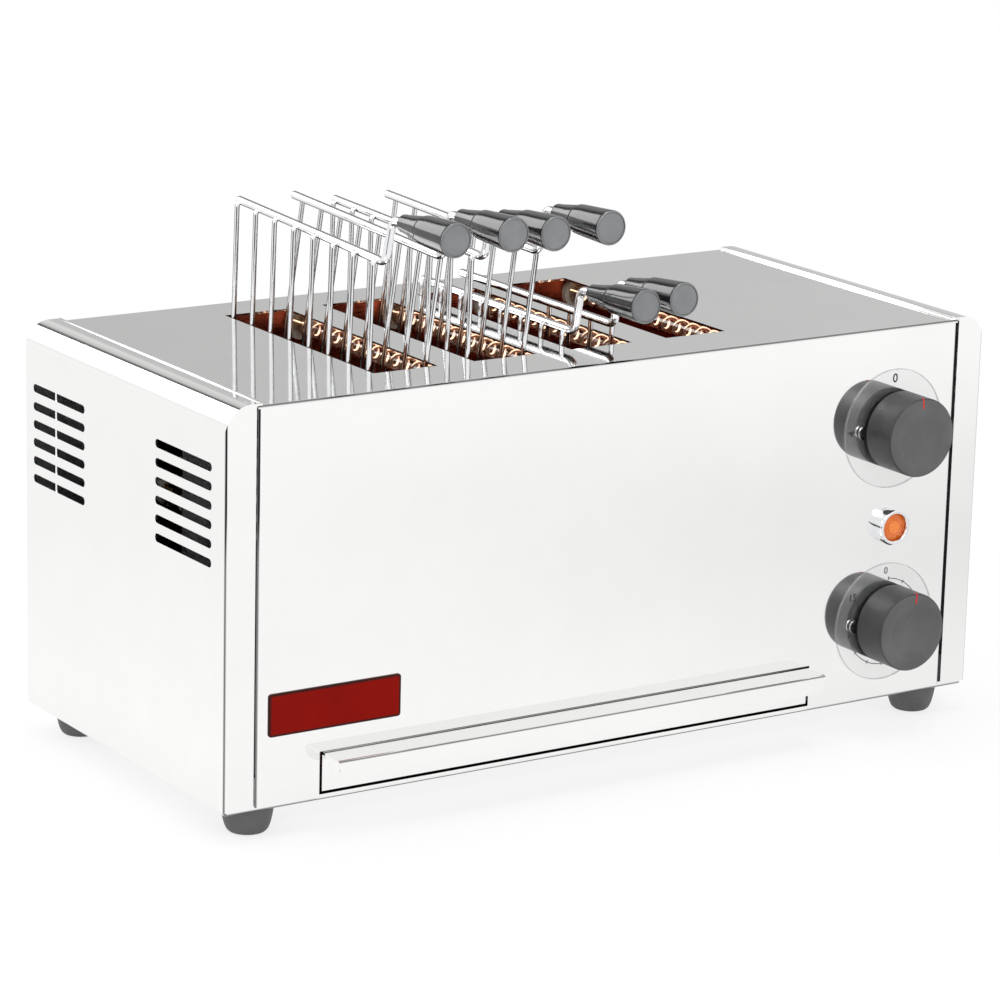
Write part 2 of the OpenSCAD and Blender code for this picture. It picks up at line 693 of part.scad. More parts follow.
// Behind, one bar for each row; in front, a jumper for each pair of tubes
module bus_bars() color([0.8, 0.6, 0.3]) place() difference() {
    union() {
        for (z = tube_z) translate([tube_x[0] - bus_w / 2, plate_rear + ceramic_out, z - bus_w / 2])
            cube([wall_right + bus_tab - tube_x[0] + bus_w / 2, bus_t, bus_w]);
        for (x = tube_x) translate([x - bus_w / 2, plate_front - ceramic_out - bus_t, tube_z[1] - bus_w / 2])
            cube([bus_w, bus_t, tube_row + bus_w]);
    }
    at_ends(tube_z) bus_hole();
}

module hex_nut(hole_r) difference() {
    cylinder(h = nut_h, r = nut_r, $fn = 6);
    translate([0, 0, -1]) cylinder(h = nut_h + 2, r = hole_r + fit);
}

// Nuts on the tubes' studs and on the foot screws
module small_nuts() color([0.75, 0.75, 0.75]) place() {
    at_ends(tube_z) translate([0, 0, ceramic_out + bus_t]) hex_nut(stud_r);
    at_feet() translate([0, 0, base_t]) hex_nut(foot_screw_r);
}

// Controls

module control_screw_holes(z, len) for (s = [-1, 1])
    to_back([ctl_x + s * control_screws_w / 2, -1, z]) cylinder(h = len + 1, r = screw_r + fit);

module selector_switch() color([0.15, 0.15, 0.15]) place() difference() {
    translate([ctl_x - switch_w / 2, sheet_t, selector_z - switch_h / 2]) cube([switch_w, switch_d, switch_h]);
    to_back([ctl_x, 0, selector_z]) cylinder(h = sheet_t + shaft_in + 1, r = shaft_r + fit);
    control_screw_holes(selector_z, screw_bore + air);
}

module timer_body() color([0.8, 0.8, 0.78]) place() difference() {
    to_back([ctl_x, sheet_t, timer_z]) cylinder(h = timer_d, r = timer_r);
    to_back([ctl_x, 0, timer_z]) cylinder(h = sheet_t + shaft_in + 1, r = shaft_r + fit);
    control_screw_holes(timer_z, screw_bore + air);
}

module control_shaft(z) to_back([ctl_x, -knob_base - hub_bore + air, z])
    cylinder(h = knob_base + hub_bore + shaft_in + sheet_t - air, r = shaft_r);

// A knob with its base at z = 0 and its face up: a skirt, a hub on the shaft, and a dished face
module knob() {
    dish_r = knob_r - 6;
    dish_d = 1.2;
    ball = (dish_r * dish_r + dish_d * dish_d) / (2 * dish_d);
    difference() {
        union() {
            cylinder(h = knob_h - 1, r = knob_r);
            rotate_extrude() {
                square([knob_r - 1, knob_h]);
                translate([knob_r - 1, knob_h - 1]) circle(1);
            }
        }
        difference() {
            translate([0, 0, -1]) cylinder(h = 13, r = knob_r - knob_wall);
            translate([0, 0, -2]) cylinder(h = 15, r = hub_r);
        }
        translate([0, 0, -1]) cylinder(h = hub_bore + 1, r = shaft_r + fit);
        translate([0, 0, knob_h + ball - dish_d]) sphere(ball, $fn = 96);
        translate([-0.4, knob_r - 4.5, knob_h - 0.3]) cube([0.8, 6, 1]);
    }
}

module at_knob(z, turn) to_front([ctl_x, -knob_base, z]) rotate(-turn) children();

module dial(z) difference() {
    to_front([ctl_x, 0, z]) cylinder(h = dial_t, r = dial_r);
    to_front([ctl_x, 1, z]) cylinder(h = dial_t + 2, r = shaft_r + 1.5);
    for (s = [-1, 1]) to_front([ctl_x + s * control_screws_w / 2, 1, z])
        cylinder(h = dial_t + 2, r = screw_r + hole_gap);
}

module selector_shaft() color([0.75, 0.75, 0.75]) place() control_shaft(selector_z);
module selector_knob() color([0.27, 0.27, 0.27]) place() at_knob(selector_z, 0) knob();
module selector_dial() color([0.9, 0.9, 0.9, 0.4]) place() dial(selector_z);
module timer_shaft() color([0.75, 0.75, 0.75]) place() control_shaft(timer_z);
module timer_knob() color([0.27, 0.27, 0.27]) place() at_knob(timer_z, timer_turn) knob();
module timer_dial() color([0.9, 0.9, 0.9, 0.4]) place() dial(timer_z);

module control_screws() color([0.8, 0.8, 0.8]) place() for (z = [selector_z, timer_z], s = [-1, 1])
    to_back([ctl_x + s * control_screws_w / 2, -dial_t, z])
        cross_screw(screw_r, dial_t + screw_bore, screw_r + 1.4, head_t);

// A blade standing on a face that looks to the back
module blade(x, y, z) translate([x - blade_w / 2, y, z - blade_t / 2]) cube([blade_w, blade_len, blade_t]);

module spade_terminals() color([0.85, 0.75, 0.45]) place() {
    for (sx = [-1, 1], sz = [-1, 1]) blade(ctl_x + sx * blade_off, sheet_t + switch_d, selector_z + sz * blade_off);
    for (sx = [-1, 1]) blade(ctl_x + sx * blade_off, sheet_t + timer_d, timer_z + 8);
    for (sx = [-1, 1]) translate([ctl_x + sx * pilot_off, pilot_d - 1 + blade_len / 2, pilot_z])
        cube([1, blade_len, 3], true);
}

module pilot_bezel() color([0.9, 0.9, 0.9]) place() difference() {
    to_front([ctl_x, 0, pilot_z]) cylinder(h = bezel_reach, r = bezel_r);
    to_front([ctl_x, -1, pilot_z]) cylinder(h = bezel_reach, r = lens_r + fit);
    to_front([ctl_x, 1, pilot_z]) cylinder(h = 3, r = pilot_r + fit);
}

// The lens: a round plug whose front is cut to a shallow twelve-sided point
module pilot_lens() color([0.95, 0.5, 0.1]) place() to_front([ctl_x, -1, pilot_z]) {
    cylinder(h = bezel_reach - 1.5, r = lens_r);
    translate([0, 0, bezel_reach - 1.5]) cylinder(h = 1.2, r1 = lens_r, r2 = lens_r * 0.45);
}

module pilot_body() color([0.85, 0.85, 0.82]) place()
    to_back([ctl_x, -1, pilot_z]) cylinder(h = pilot_d, r = pilot_r);

module pilot_nut() color([0.2, 0.2, 0.2]) place() to_back([ctl_x, sheet_t, pilot_z]) difference() {
    cylinder(h = nut_h, r = pilot_r + 3.5, $fn = 6);
    translate([0, 0, -1]) cylinder(h = nut_h + 2, r = pilot_r + fit);
}

// Mains side

function pole(i) = block_at + [block.x / 2, block.y / 2 + (i - (block_poles - 1) / 2) * pole_pitch, block.z];

module terminal_block() color([0.9, 0.88, 0.8]) place() difference() {
    translate(block_at) cube(block);
    for (i = [0:block_poles - 1], s = [-1, 1]) translate(pole(i) + [s * pole_off, 0, -8])
        cylinder(h = 9, r = 2);
}

module cable_gland() color([0.15, 0.15, 0.15]) place() difference() {
    union() {
        to_back([gland_x, body_d - 8 - sheet_t, gland_z]) cylinder(h = 8 + sheet_t, r = gland_hole);
        to_back([gland_x, body_d, gland_z]) cylinder(h = 5, r = gland_hole + 4, $fn = 6);
        to_back([gland_x, body_d, gland_z]) cylinder(h = gland_out, r = gland_hole);
    }
    to_back([gland_x, body_d - 10 - sheet_t, gland_z]) cylinder(h = gland_out + 12, r = gland_bore);
}

module gland_nut() color([0.15, 0.15, 0.15]) place() to_front([gland_x, back_y, gland_z]) difference() {
    cylinder(h = 4, r = gland_hole + 4, $fn = 6);
    translate([0, 0, -1]) cylinder(h = 6, r = gland_hole + fit);
}

module straight(a, b, r) {
    v = b - a;
    translate(a) rotate([0, acos(v.z / norm(v)), atan2(v.y, v.x)]) cylinder(h = norm(v), r = r);
}

// An insulated lead along square corners
module lead(p) {
    for (i = [0:len(p) - 2]) straight(p[i], p[i + 1], lead_r);
    for (i = [1:1:len(p) - 2]) translate(p[i]) sphere(lead_r);
}

lead_x = wall_right + bus_tab - 4;
selector_back = sheet_t + switch_d + blade_len;
timer_back = sheet_t + timer_d + blade_len;
pilot_back = pilot_d - 1 + blade_len;
bus_front = plate_rear + ceramic_out;
lead_gap = 12;

// Leads 1 and 2 feed the selector and the lower bus bar, 3 links the selector to the timer, 4 runs on
// to the upper bus bar, and the last two feed the pilot lamp.
module wiring() color([0.5, 0.3, 0.2]) place() {
    lx = ctl_x - blade_off;
    rx = ctl_x + blade_off;
    sz = selector_z - blade_off;
    tz = timer_z + 8;
    live = pole(0) + [pole_off, 0, 0];
    neutral = pole(2) - [pole_off, 0, 0];
    lead([live, [live.x, live.y, sz], [lx, live.y, sz], [lx, selector_back, sz]]);
    lead([neutral, [neutral.x, neutral.y, tube_z[1]], [lead_x, neutral.y, tube_z[1]],
        [lead_x, bus_front, tube_z[1]]]);
    lead([[rx, selector_back, sz], [rx, selector_back + lead_gap, sz], [rx, selector_back + lead_gap, tz],
        [rx, timer_back, tz]]);
    lead([[lx, timer_back, tz], [lx, timer_back + 2 * lead_gap, tz], [lead_x, timer_back + 2 * lead_gap, tz],
        [lead_x, timer_back + 2 * lead_gap, tube_z[0]], [lead_x, bus_front, tube_z[0]]]);
    for (s = [-1, 1]) lead([[ctl_x + pilot_off * s, pilot_back, pilot_z],
        [ctl_x + pilot_off * s, pole(1).y + s * 3, pilot_z], [pole(1).x + pole_off * s, pole(1).y + s * 3, pilot_z],
        pole(1) + [pole_off * s, s * 3, 0]]);
}

// Tongs: the origin is the hinge pin's axis under the first wire, Y runs along the pin to the back

module at_tong(i) place() translate([tong_x(i), tong_y, hinge_down + tong_lift[i]])
    rotate([tong_tilt[i], 0, 0]) children();

module rod_arc(bend, r, turn) rotate_extrude(angle = turn) translate([bend, 0]) circle(r);

// A jaw on side s of the pin: upright wires bent in to the top rod, and hinge eyes at the foot. The eyes
// of the two jaws stand side by side on the pin, on eye_side of the same places.
module jaw(s, foot, high, eye_side) {
    for (k = [0:jaw_wires - 1]) translate([0, k * jaw_pitch, 0]) {
        translate([s * foot, 0, 0]) cylinder(h = high - rod_off, r = jaw_wire_r);
        translate([s * (foot - rod_off), 0, high - rod_off]) rotate([90, 0, 0]) rotate(45 - 45 * s)
            rod_arc(rod_off, jaw_wire_r, 90);
    }
    to_back([s * foot, -jaw_wire_r, 0]) cylinder(h = grid_len + 2 * jaw_wire_r, r = jaw_wire_r);
    for (e = eye_at) translate([0, e * jaw_pitch + eye_side * eye_half, 0]) difference() {
        union() {
            to_back([0, -jaw_wire_r, 0]) cylinder(h = 2 * jaw_wire_r, r = eye_r);
            translate([s * foot, 0, 0]) rotate([0, -90 * s, 0])
                cylinder(h = foot - pin_r - fit, r = jaw_wire_r);
        }
        to_back([0, -5, 0]) cylinder(h = 10, r = pin_r + fit);
    }
    to_back([s * (foot - rod_off), low_bend - riser_y + seam, high])
        cylinder(h = grid_len + rod_tail + riser_y - low_bend - seam, r = rod_r);
    translate([s * (foot - rod_off), low_bend - riser_y, high]) joint_ball();
    at_upright(s, foot, high) upright();
}

// A ball a shade wider than the rod closes the short seam between a bend and the straight beside it
module joint_ball() sphere(rod_r + 0.03);

// The foot of the upright, in the plane that leans towards the other jaw
module at_upright(s, foot, high) translate([s * (foot - rod_off), 0, high])
    rotate([0, -s * riser_in, 0]) translate([0, -riser_y, 0]) children();

// The upper corner of the upright, +Z running forward into the handle
module at_handle() translate([0, -riser_h * tan(riser_lean), riser_h]) rotate([90 - handle_rise, 0, 0])
    children();

module upright() {
    rise = riser_h / cos(riser_lean);
    translate([0, low_bend, rod_bend]) rotate([0, -90, 0]) rotate(180)
        rod_arc(rod_bend, rod_r, 90 - riser_lean);
    rotate([riser_lean, 0, 0]) {
        translate([0, 0, low_bend + seam]) cylinder(h = rise - low_bend - high_bend - 2 * seam, r = rod_r);
        for (z = [low_bend, rise - high_bend]) translate([0, 0, z]) joint_ball();
    }
    at_handle() {
        translate([0, -rod_bend, high_bend]) rotate([0, -90, 0]) rotate(90)
            rod_arc(rod_bend, rod_r, 90 - riser_lean - handle_rise);
        translate([0, 0, high_bend]) joint_ball();
        translate([0, 0, high_bend + seam])
            cylinder(h = handle_gap - high_bend - seam + handle_bore - 1, r = rod_r);
    }
}

// A turned handle, its rear end at z = 0 and its face towards +Z
module handle() difference() {
    rotate_extrude() polygon(concat([[0, 0]],
        [for (k = [0:4]) [handle_neck_r - 1.5 + 1.5 * sin(22.5 * k), 1.5 - 1.5 * cos(22.5 * k)]],
        [[handle_mid_r - 0.6, handle_len - handle_step - handle_round],
            [handle_mid_r, handle_len - handle_step],
            [handle_r, handle_len - 0.8], [handle_r - 0.5, handle_len - 0.2],
            [handle_r - 0.8, handle_len], [handle_r - 0.9, handle_len - 0.4], [0, handle_len - 0.4]]));
    translate([0, 0, -1]) cylinder(h = handle_bore + 1, r = rod_r + fit);
}

module jaw_handle(s, foot, high) at_upright(s, foot, high) at_handle() translate([0, 0, handle_gap]) handle();

module jaw_a() jaw(-1, jaw_in, rod_h, -1);
module jaw_b() jaw(1, jaw_out, rod_h + rod_step, 1);
module handle_a() jaw_handle(-1, jaw_in, rod_h);
module handle_b() jaw_handle(1, jaw_out, rod_h + rod_step);

module at_jaw_b(i) at_tong(i) rotate([0, tong_angle(i), 0]) children();

// The hinge pin with a head at each end
module hinge_pin() {
    first = eye_at[0] * jaw_pitch - 2 * eye_half - jaw_wire_r;
    last = eye_at[len(eye_at) - 1] * jaw_pitch + 2 * eye_half + jaw_wire_r;
    to_back([0, first, 0]) cylinder(h = last - first, r = pin_r);
    for (y = [first - 1, last]) to_back([0, y, 0]) cylinder(h = 1, r = pin_r + 0.8);
}

steel = [0.86, 0.86, 0.86];
dark = [0.25, 0.25, 0.25];
module tong_1_jaw_a() color(steel) at_tong(0) jaw_a();
module tong_1_jaw_b() color(steel) at_jaw_b(0) jaw_b();
module tong_1_handle_a() color(dark) at_tong(0) handle_a();
module tong_1_handle_b() color(dark) at_jaw_b(0) handle_b();
module tong_1_hinge_pin() color(steel) at_tong(0) hinge_pin();
module tong_2_jaw_a() color(steel) at_tong(1) jaw_a();
module tong_2_jaw_b() color(steel) at_jaw_b(1) jaw_b();
module tong_2_handle_a() color(dark) at_tong(1) handle_a();
module tong_2_handle_b() color(dark) at_jaw_b(1) handle_b();
module tong_2_hinge_pin() color(steel) at_tong(1) hinge_pin();
module tong_3_jaw_a() color(steel) at_tong(2) jaw_a();
module tong_3_jaw_b() color(steel) at_jaw_b(2) jaw_b();
module tong_3_handle_a() color(dark) at_tong(2) handle_a();
module tong_3_handle_b() color(dark) at_jaw_b(2) handle_b();
module tong_3_hinge_pin() color(steel) at_tong(2) hinge_pin();

echo(row_y = row_y, floor_z = floor_z, hinge_down = hinge_down, bar_z = bar_z);
echo(hinges = [for (i = [0:2]) [tong_x(i) - body_w / 2, tong_y + row_y, hinge_down + tong_lift[i] + floor_z]]);
echo(angles = [for (i = [0:2]) tong_angle(i)], tubes = tube_x, rails = rail_points);

left_end_cap();
right_end_cap();
front_panel();
top_panel();
back_panel();
back_panel_screws();
base_pan();
rubber_feet();
foot_screws();
name_plate();
crumb_tray_pan();
crumb_tray_front();
tray_rails();
rail_screws();
chamber_front_plate();
chamber_rear_plate();
chamber_left_wall();
chamber_right_wall();
tong_rest_bars();
upper_quartz_tubes();
lower_quartz_tubes();
upper_heater_coils();
lower_heater_coils();
ceramic_end_caps();
terminal_studs();
bus_bars();
small_nuts();
selector_switch();
selector_shaft();
selector_knob();
selector_dial();
timer_body();
timer_shaft();
timer_knob();
timer_dial();
control_screws();
spade_terminals();
pilot_bezel();
pilot_lens();
pilot_body();
pilot_nut();
terminal_block();
cable_gland();
gland_nut();
wiring();
tong_1_jaw_a();
tong_1_jaw_b();
tong_1_handle_a();
tong_1_handle_b();
tong_1_hinge_pin();
tong_2_jaw_a();
tong_2_jaw_b();
tong_2_handle_a();
tong_2_handle_b();
tong_2_hinge_pin();
tong_3_jaw_a();
tong_3_jaw_b();
tong_3_handle_a();
tong_3_handle_b();
tong_3_hinge_pin();
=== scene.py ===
# %% [markdown]
# # A quartz toaster with lift-out tongs
#
# The object is a catering toaster: a casing of polished stainless steel on four rubber feet, with four
# slots in its top. Between the slots lie quartz tubes with a wound heating wire in each. Three wire tongs
# with black handles stand in the first three slots. The front carries two knobs, a pilot lamp, a red
# plate and a crumb tray.
#
# The exact solids come from a CAD model, the frame. This lesson dresses them: flat sheets keep their
# solid and get a finish, and everything with a softer or finer form is modelled again in mesh code.

# %% Load the frame
import math

import bmesh
import bpy
from mathutils import Matrix, Vector


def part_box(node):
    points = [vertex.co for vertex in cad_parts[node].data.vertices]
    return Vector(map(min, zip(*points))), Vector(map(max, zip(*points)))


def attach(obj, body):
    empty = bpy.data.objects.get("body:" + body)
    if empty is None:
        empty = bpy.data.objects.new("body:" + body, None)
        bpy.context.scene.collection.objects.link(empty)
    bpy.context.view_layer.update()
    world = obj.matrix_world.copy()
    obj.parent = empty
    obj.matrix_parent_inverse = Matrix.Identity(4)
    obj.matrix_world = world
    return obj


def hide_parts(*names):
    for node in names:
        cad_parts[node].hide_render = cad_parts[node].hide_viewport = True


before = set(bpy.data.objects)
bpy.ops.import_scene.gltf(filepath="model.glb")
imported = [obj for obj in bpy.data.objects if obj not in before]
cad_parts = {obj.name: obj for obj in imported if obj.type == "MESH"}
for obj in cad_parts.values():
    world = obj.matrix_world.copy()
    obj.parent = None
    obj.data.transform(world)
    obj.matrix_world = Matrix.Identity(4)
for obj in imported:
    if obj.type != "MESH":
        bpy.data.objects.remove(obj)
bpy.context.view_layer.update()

# %% [markdown]
# ## One place to measure from
#
# Every size below is in millimetres, as on a workshop drawing. It is measured from the corner of the
# casing: x from its left end, y from its front face backwards, z from the lower edge of the end caps.
# One function turns such a point into Blender's metres.

# %% The drawing's corner
corner = Vector(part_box("left_end_cap")[0])


def spot(x, y, z):
    return corner + Vector((x, y, z)) / 1000


print("casing corner at", [round(v, 4) for v in corner])

# %% [markdown]
# ## The camera
#
# The lens and the place were solved from the casing's edges in the photograph: a long lens from the
# front left, 1.9 m away, looking down by 15 degrees and held with a slight roll.

# %% Camera
AZIMUTH, ELEVATION, ROLL = (math.radians(a) for a in (33.3142, 14.7949, 1.42756))
LENS_MM, SENSOR_MM = 150.53, 36
CAMERA_SPOT = (-862.736, -1529.170, 609.582)
OBJECT_MIDDLE = Vector((0, 0, 0.12))

ahead = Vector((math.sin(AZIMUTH) * math.cos(ELEVATION), math.cos(AZIMUTH) * math.cos(ELEVATION),
                -math.sin(ELEVATION)))
sideways = Vector((math.cos(AZIMUTH), -math.sin(AZIMUTH), 0))
above = sideways.cross(ahead)
right = sideways * math.cos(ROLL) + above * math.sin(ROLL)
up = above * math.cos(ROLL) - sideways * math.sin(ROLL)

camera = bpy.data.objects.new("camera", bpy.data.cameras.new("camera"))
camera.data.lens, camera.data.sensor_width = LENS_MM, SENSOR_MM
camera.matrix_world = Matrix.Translation(spot(*CAMERA_SPOT)) @ Matrix((right, up, -ahead)).transposed().to_4x4()
bpy.context.scene.collection.objects.link(camera)
bpy.context.scene.camera = camera
bpy.context.scene.view_settings.view_transform = "Standard"
print("camera is", round((camera.location - OBJECT_MIDDLE).length, 2), "m away")

# %% [markdown]
# ## Nodes for materials
#
# A material here is a small network. One helper adds a node and takes its inputs either as plain values
# or as the output of another node. Short helpers on top of it do sums, stretch one range of numbers over
# another and mix. Colours are written as on a paint chart, in sRGB hex, and turned to the linear values
# that the renderer counts with.

# %% Material helpers


def linear(code):
    def channel(text):
        value = int(text, 16) / 255
        return value / 12.92 if value <= 0.04045 else ((value + 0.055) / 1.055) ** 2.4
    return (channel(code[1:3]), channel(code[3:5]), channel(code[5:7]), 1)


def add(tree, kind, inputs=None, **settings):
    node = tree.nodes.new("ShaderNode" + kind)
    for key, value in settings.items():
        setattr(node, key, value)
    for key, value in (inputs or {}).items():
        if isinstance(value, bpy.types.NodeSocket):
            tree.links.new(value, node.inputs[key])
        else:
            node.inputs[key].default_value = value
    return node


def surface(name, inputs):
    """A material with one Principled shader, its tree and the shader."""
    made = bpy.data.materials.new(name)
    made.use_nodes = True
    tree = made.node_tree
    tree.nodes.clear()
    shader = add(tree, "BsdfPrincipled", inputs)
    add(tree, "OutputMaterial", {"Surface": shader.outputs[0]})
    return made, tree, shader


def plug(tree, node, inputs):
    for key, value in inputs.items():
        tree.links.new(value, node.inputs[key])


def reckon(tree, operation, *values):
    """The result of one sum."""
    return add(tree, "Math", dict(enumerate(values)), operation=operation).outputs[0]


def remap(tree, value, start, end, low=0, high=1):
    """A number that runs evenly from low to high as value goes from start to end."""
    return add(tree, "MapRange", {"Value": value, "From Min": start, "From Max": end,
                                  "To Min": low, "To Max": high}).outputs[0]


def between(tree, factor, low, high, start=0.35, end=0.65):
    """The same for numbers or colours. Most noise lies in the middle, so the run starts and ends there."""
    ramp = add(tree, "ValToRGB", {"Fac": factor})
    for element, place, value in zip(ramp.color_ramp.elements, (start, end), (low, high)):
        element.position = place
        element.color = linear(value) if isinstance(value, str) else (value, value, value, 1)
    return ramp.outputs[0]


def mixed(tree, factor, low, high, kind="RGBA"):
    """Goes from low to high with factor. The Mix node keeps other sockets for colours than for numbers."""
    first, result = {"RGBA": (6, 2), "FLOAT": (2, 0)}[kind]
    return add(tree, "Mix", {0: factor, first: low, first + 1: high}, data_type=kind).outputs[result]


def grain(tree, size_mm, stretch=(1, 1, 1), detail=2.0, rough=0.5):
    """Noise in the object's own metres whose blobs are size_mm wide, drawn out along an axis by stretch."""
    place = add(tree, "TexCoord").outputs["Object"]
    scaled = add(tree, "Mapping", {"Vector": place, "Scale": [1000 / size_mm / s for s in stretch]})
    return add(tree, "TexNoise", {"Vector": scaled.outputs[0], "Scale": 1, "Detail": detail,
                                  "Roughness": rough}).outputs[0]


def relief(tree, height, depth_mm):
    return add(tree, "Bump", {"Height": height, "Distance": depth_mm / 1000, "Strength": 1}).outputs[0]


def facing(tree):
    """The direction that a face points in, the same from wherever one looks."""
    return add(tree, "NewGeometry").outputs["Normal"]


# %% [markdown]
# ## Sheet steel
#
# The casing is stainless steel sheet, rolled bright and polished. Such sheet is a soft mirror: it is
# never quite flat, so reflections wander a little, and handling leaves a faint change in gloss. The
# photograph shows the tight bends darker than the flats, and here that darkness is a painted reflection.
# The surface's own direction finds the bends: a bend is where it faces neither straight out nor straight
# aside. The lines of the polishing belt are about 0.1 mm apart. They are drawn 1 mm apart here, or they
# would vanish between the picture's pixels.
#
# The tray's shelf looks up, and the photograph shows it a little duller than its skirt, so that steel is
# given a painted shade, a darker tone for faces that look up. Sheared edges are grey and rough.

# %% Polished stainless steel
# Painted dark reflection: the grey that the casing's bends are darkened to.
BEND_PAINTED_REFLECTION = linear("#7C7C7C")
BELT_SHARE = 0.004


def polished_steel(name, tint, gloss, wave_mm, along, painted_up_shade=None):
    made, tree, shader = surface(name, {"Metallic": 1, "Roughness": gloss})
    wander = grain(tree, 90, detail=1)
    lines = grain(tree, 1.0, along, detail=3)
    smudge = grain(tree, 35, detail=4, rough=0.6)
    faces = add(tree, "SeparateXYZ", {0: facing(tree)}).outputs
    # Painted dark reflection: a mask from the face direction, strongest on bends, darkens the colour there.
    square = reckon(tree, "MULTIPLY", faces["Y"], faces["Y"])
    bend = reckon(tree, "MULTIPLY", remap(tree, square, 0.5, 1.0, 1, 0), remap(tree, square, 0.0, 0.5))
    height = reckon(tree, "ADD", wander, reckon(tree, "MULTIPLY", lines, BELT_SHARE))
    tone = mixed(tree, between(tree, bend, 0, 1, 0.15, 0.7), between(tree, smudge, *tint), BEND_PAINTED_REFLECTION)
    # Painted shade: faces that look up are given a darker tone.
    if painted_up_shade:
        tone = mixed(tree, between(tree, faces["Z"], 0, 1, 0.7, 0.95), tone, linear(painted_up_shade))
    plug(tree, shader, {
        "Base Color": tone,
        "Roughness": between(tree, smudge, gloss * 0.7, gloss * 1.5),
        "Normal": relief(tree, height, wave_mm)})
    return made


casing_steel = polished_steel(
    "stainless_steel_bright_polished", ("#F8F8F7", "#FAFAF9"), 0.045, 0.05, (60, 60, 1))
top_steel = polished_steel(
    "stainless_steel_bright_polished_top", ("#F2F2F1", "#F5F5F4"), 0.05, 0.03, (60, 1, 1))
tray_steel = polished_steel(
    "stainless_steel_polished_tray", ("#F9F9F8", "#FBFBFA"), 0.06, 0.03, (60, 1, 1), "#EFEFEE")
edge_steel = polished_steel(
    "stainless_steel_cut_edge", ("#8E8E8D", "#9C9C9B"), 0.3, 0.02, (60, 1, 1))
print("steel finishes:", casing_steel.name, top_steel.name, tray_steel.name, edge_steel.name)

# %% [markdown]
# The plates inside come from the mill with a duller skin, and heat has tinted them near the tubes: a
# thin oxide that goes from straw to brown.

# %% Mill-finish steel with heat tint


def mill_steel(name, clean, tinted, gloss):
    made, tree, shader = surface(name, {"Metallic": 1, "Roughness": gloss})
    cloud = grain(tree, 40, detail=5, rough=0.6)
    fine = grain(tree, 0.8, (30, 1, 1))
    plug(tree, shader, {
        "Base Color": between(tree, cloud, clean, tinted, 0.4, 0.7),
        "Roughness": between(tree, fine, gloss * 0.8, gloss * 1.2),
        "Normal": relief(tree, fine, 0.004)})
    return made


inner_steel = mill_steel("stainless_steel_mill_finish", "#C9C7C3", "#BDB7AC", 0.28)
# The chamber plates round the tubes are copper-red: partly heat tint, partly a painted reflection of the wires'
# glow.
heat_tint_and_glow_steel = mill_steel("stainless_steel_heat_tint_and_painted_glow", "#C66E56", "#8E4632", 0.3)
print("inner steels:", inner_steel.name, heat_tint_and_glow_steel.name)

# %% [markdown]
# ## Plated wire and fittings
#
# The tongs are steel wire, welded and then chromium plated: a harder, bluer mirror than stainless steel.
# In a white studio such a wire shows a dark reflection along both flanks. It is too thin here to mirror a
# dark card well, so these lines are painted into its colour as painted reflections: flanks is the direction
# in which a flank faces from the photograph's side. Uprights and rails point in different directions and
# need a finish each.
#
# Screws and nuts are zinc plated, which is greyer and slightly cloudy. The chamber's left wall is taken
# as dull galvanised sheet, because the photograph shows it evenly pale through the vents.

# %% Chromium, zinc and other metals
# Painted dark reflection for the flanks of the tongs' wires.
PAINTED_FLANK_REFLECTION = linear("#5C5C5F")
WIRE_TINTS = ("#EEEFF0", "#F6F6F8")


def plated(name, tints, gloss, size_mm, depth_mm, flanks=None):
    made, tree, shader = surface(name, {"Metallic": 1, "Roughness": gloss})
    cloud = grain(tree, size_mm, detail=3)
    tone = between(tree, cloud, *tints)
    if flanks:
        # Painted reflection: faces turned along flanks are darkened.
        lean = add(tree, "VectorMath", {0: facing(tree), 1: flanks}, operation="DOT_PRODUCT").outputs["Value"]
        painted_flank_mask = between(tree, reckon(tree, "ABSOLUTE", lean), 0, 1, 0.66, 0.82)
        tone = mixed(tree, painted_flank_mask, tone, PAINTED_FLANK_REFLECTION)
    plug(tree, shader, {
        "Base Color": tone,
        "Roughness": between(tree, cloud, gloss * 0.7, gloss * 1.5),
        "Normal": relief(tree, cloud, depth_mm)})
    return made


chromium = plated("chromium_plated_steel", ("#E6E7E9", "#EFF0F2"), 0.06, 6, 0.01)
upright = plated("chromium_plated_wire_upright", WIRE_TINTS, 0.08, 6, 0.01, (0.836, -0.549, 0))
rail = plated("chromium_plated_wire_rail", WIRE_TINTS, 0.08, 6, 0.01, (0.43, 0, 0.903))
galvanised = plated("galvanised_sheet_dull", ("#B4B7B8", "#C8CACA"), 0.8, 5, 0.02)
zinc = plated("zinc_plated_steel", ("#B9BBBB", "#CFCFCB"), 0.25, 3, 0.01)
brass = plated("brass_stamped", ("#C9A15A", "#D8B36C"), 0.25, 4, 0.01)
cast_metal = plated("aluminium_die_cast", ("#B4B4B2", "#C6C6C3"), 0.45, 1.5, 0.03)
print("metals:", [m.name for m in (chromium, upright, rail, galvanised, zinc, brass, cast_metal)])

# %% [markdown]
# ## Plastics, rubber and ceramic
#
# All of these are moulded or pressed, so their surface copies a tool: polished for the handles, spark
# eroded for the knobs, plain for the feet. Only the depth and size of the grain differ. The knobs' hollow
# and the ring that they stand on are painted blacker as shade, as hardly any light gets there, and the
# knobs' faces are painted lighter than their sides as painted light.

# %% Moulded materials
WEAR = 25


def moulded(name, tints, gloss, grain_mm, depth_mm, **inputs):
    """Worn patches of colour are WEAR times as wide as the grain. inputs names other sockets."""
    sockets = {key.replace("_", " "): value for key, value in inputs.items()}
    made, tree, shader = surface(name, {"Roughness": gloss, **sockets})
    pits = grain(tree, grain_mm, detail=3)
    worn = grain(tree, grain_mm * WEAR, detail=3)
    plug(tree, shader, {
        "Base Color": between(tree, worn, *tints),
        "Roughness": between(tree, pits, gloss * 0.85, gloss * 1.15),
        "Normal": relief(tree, pits, depth_mm)})
    return made


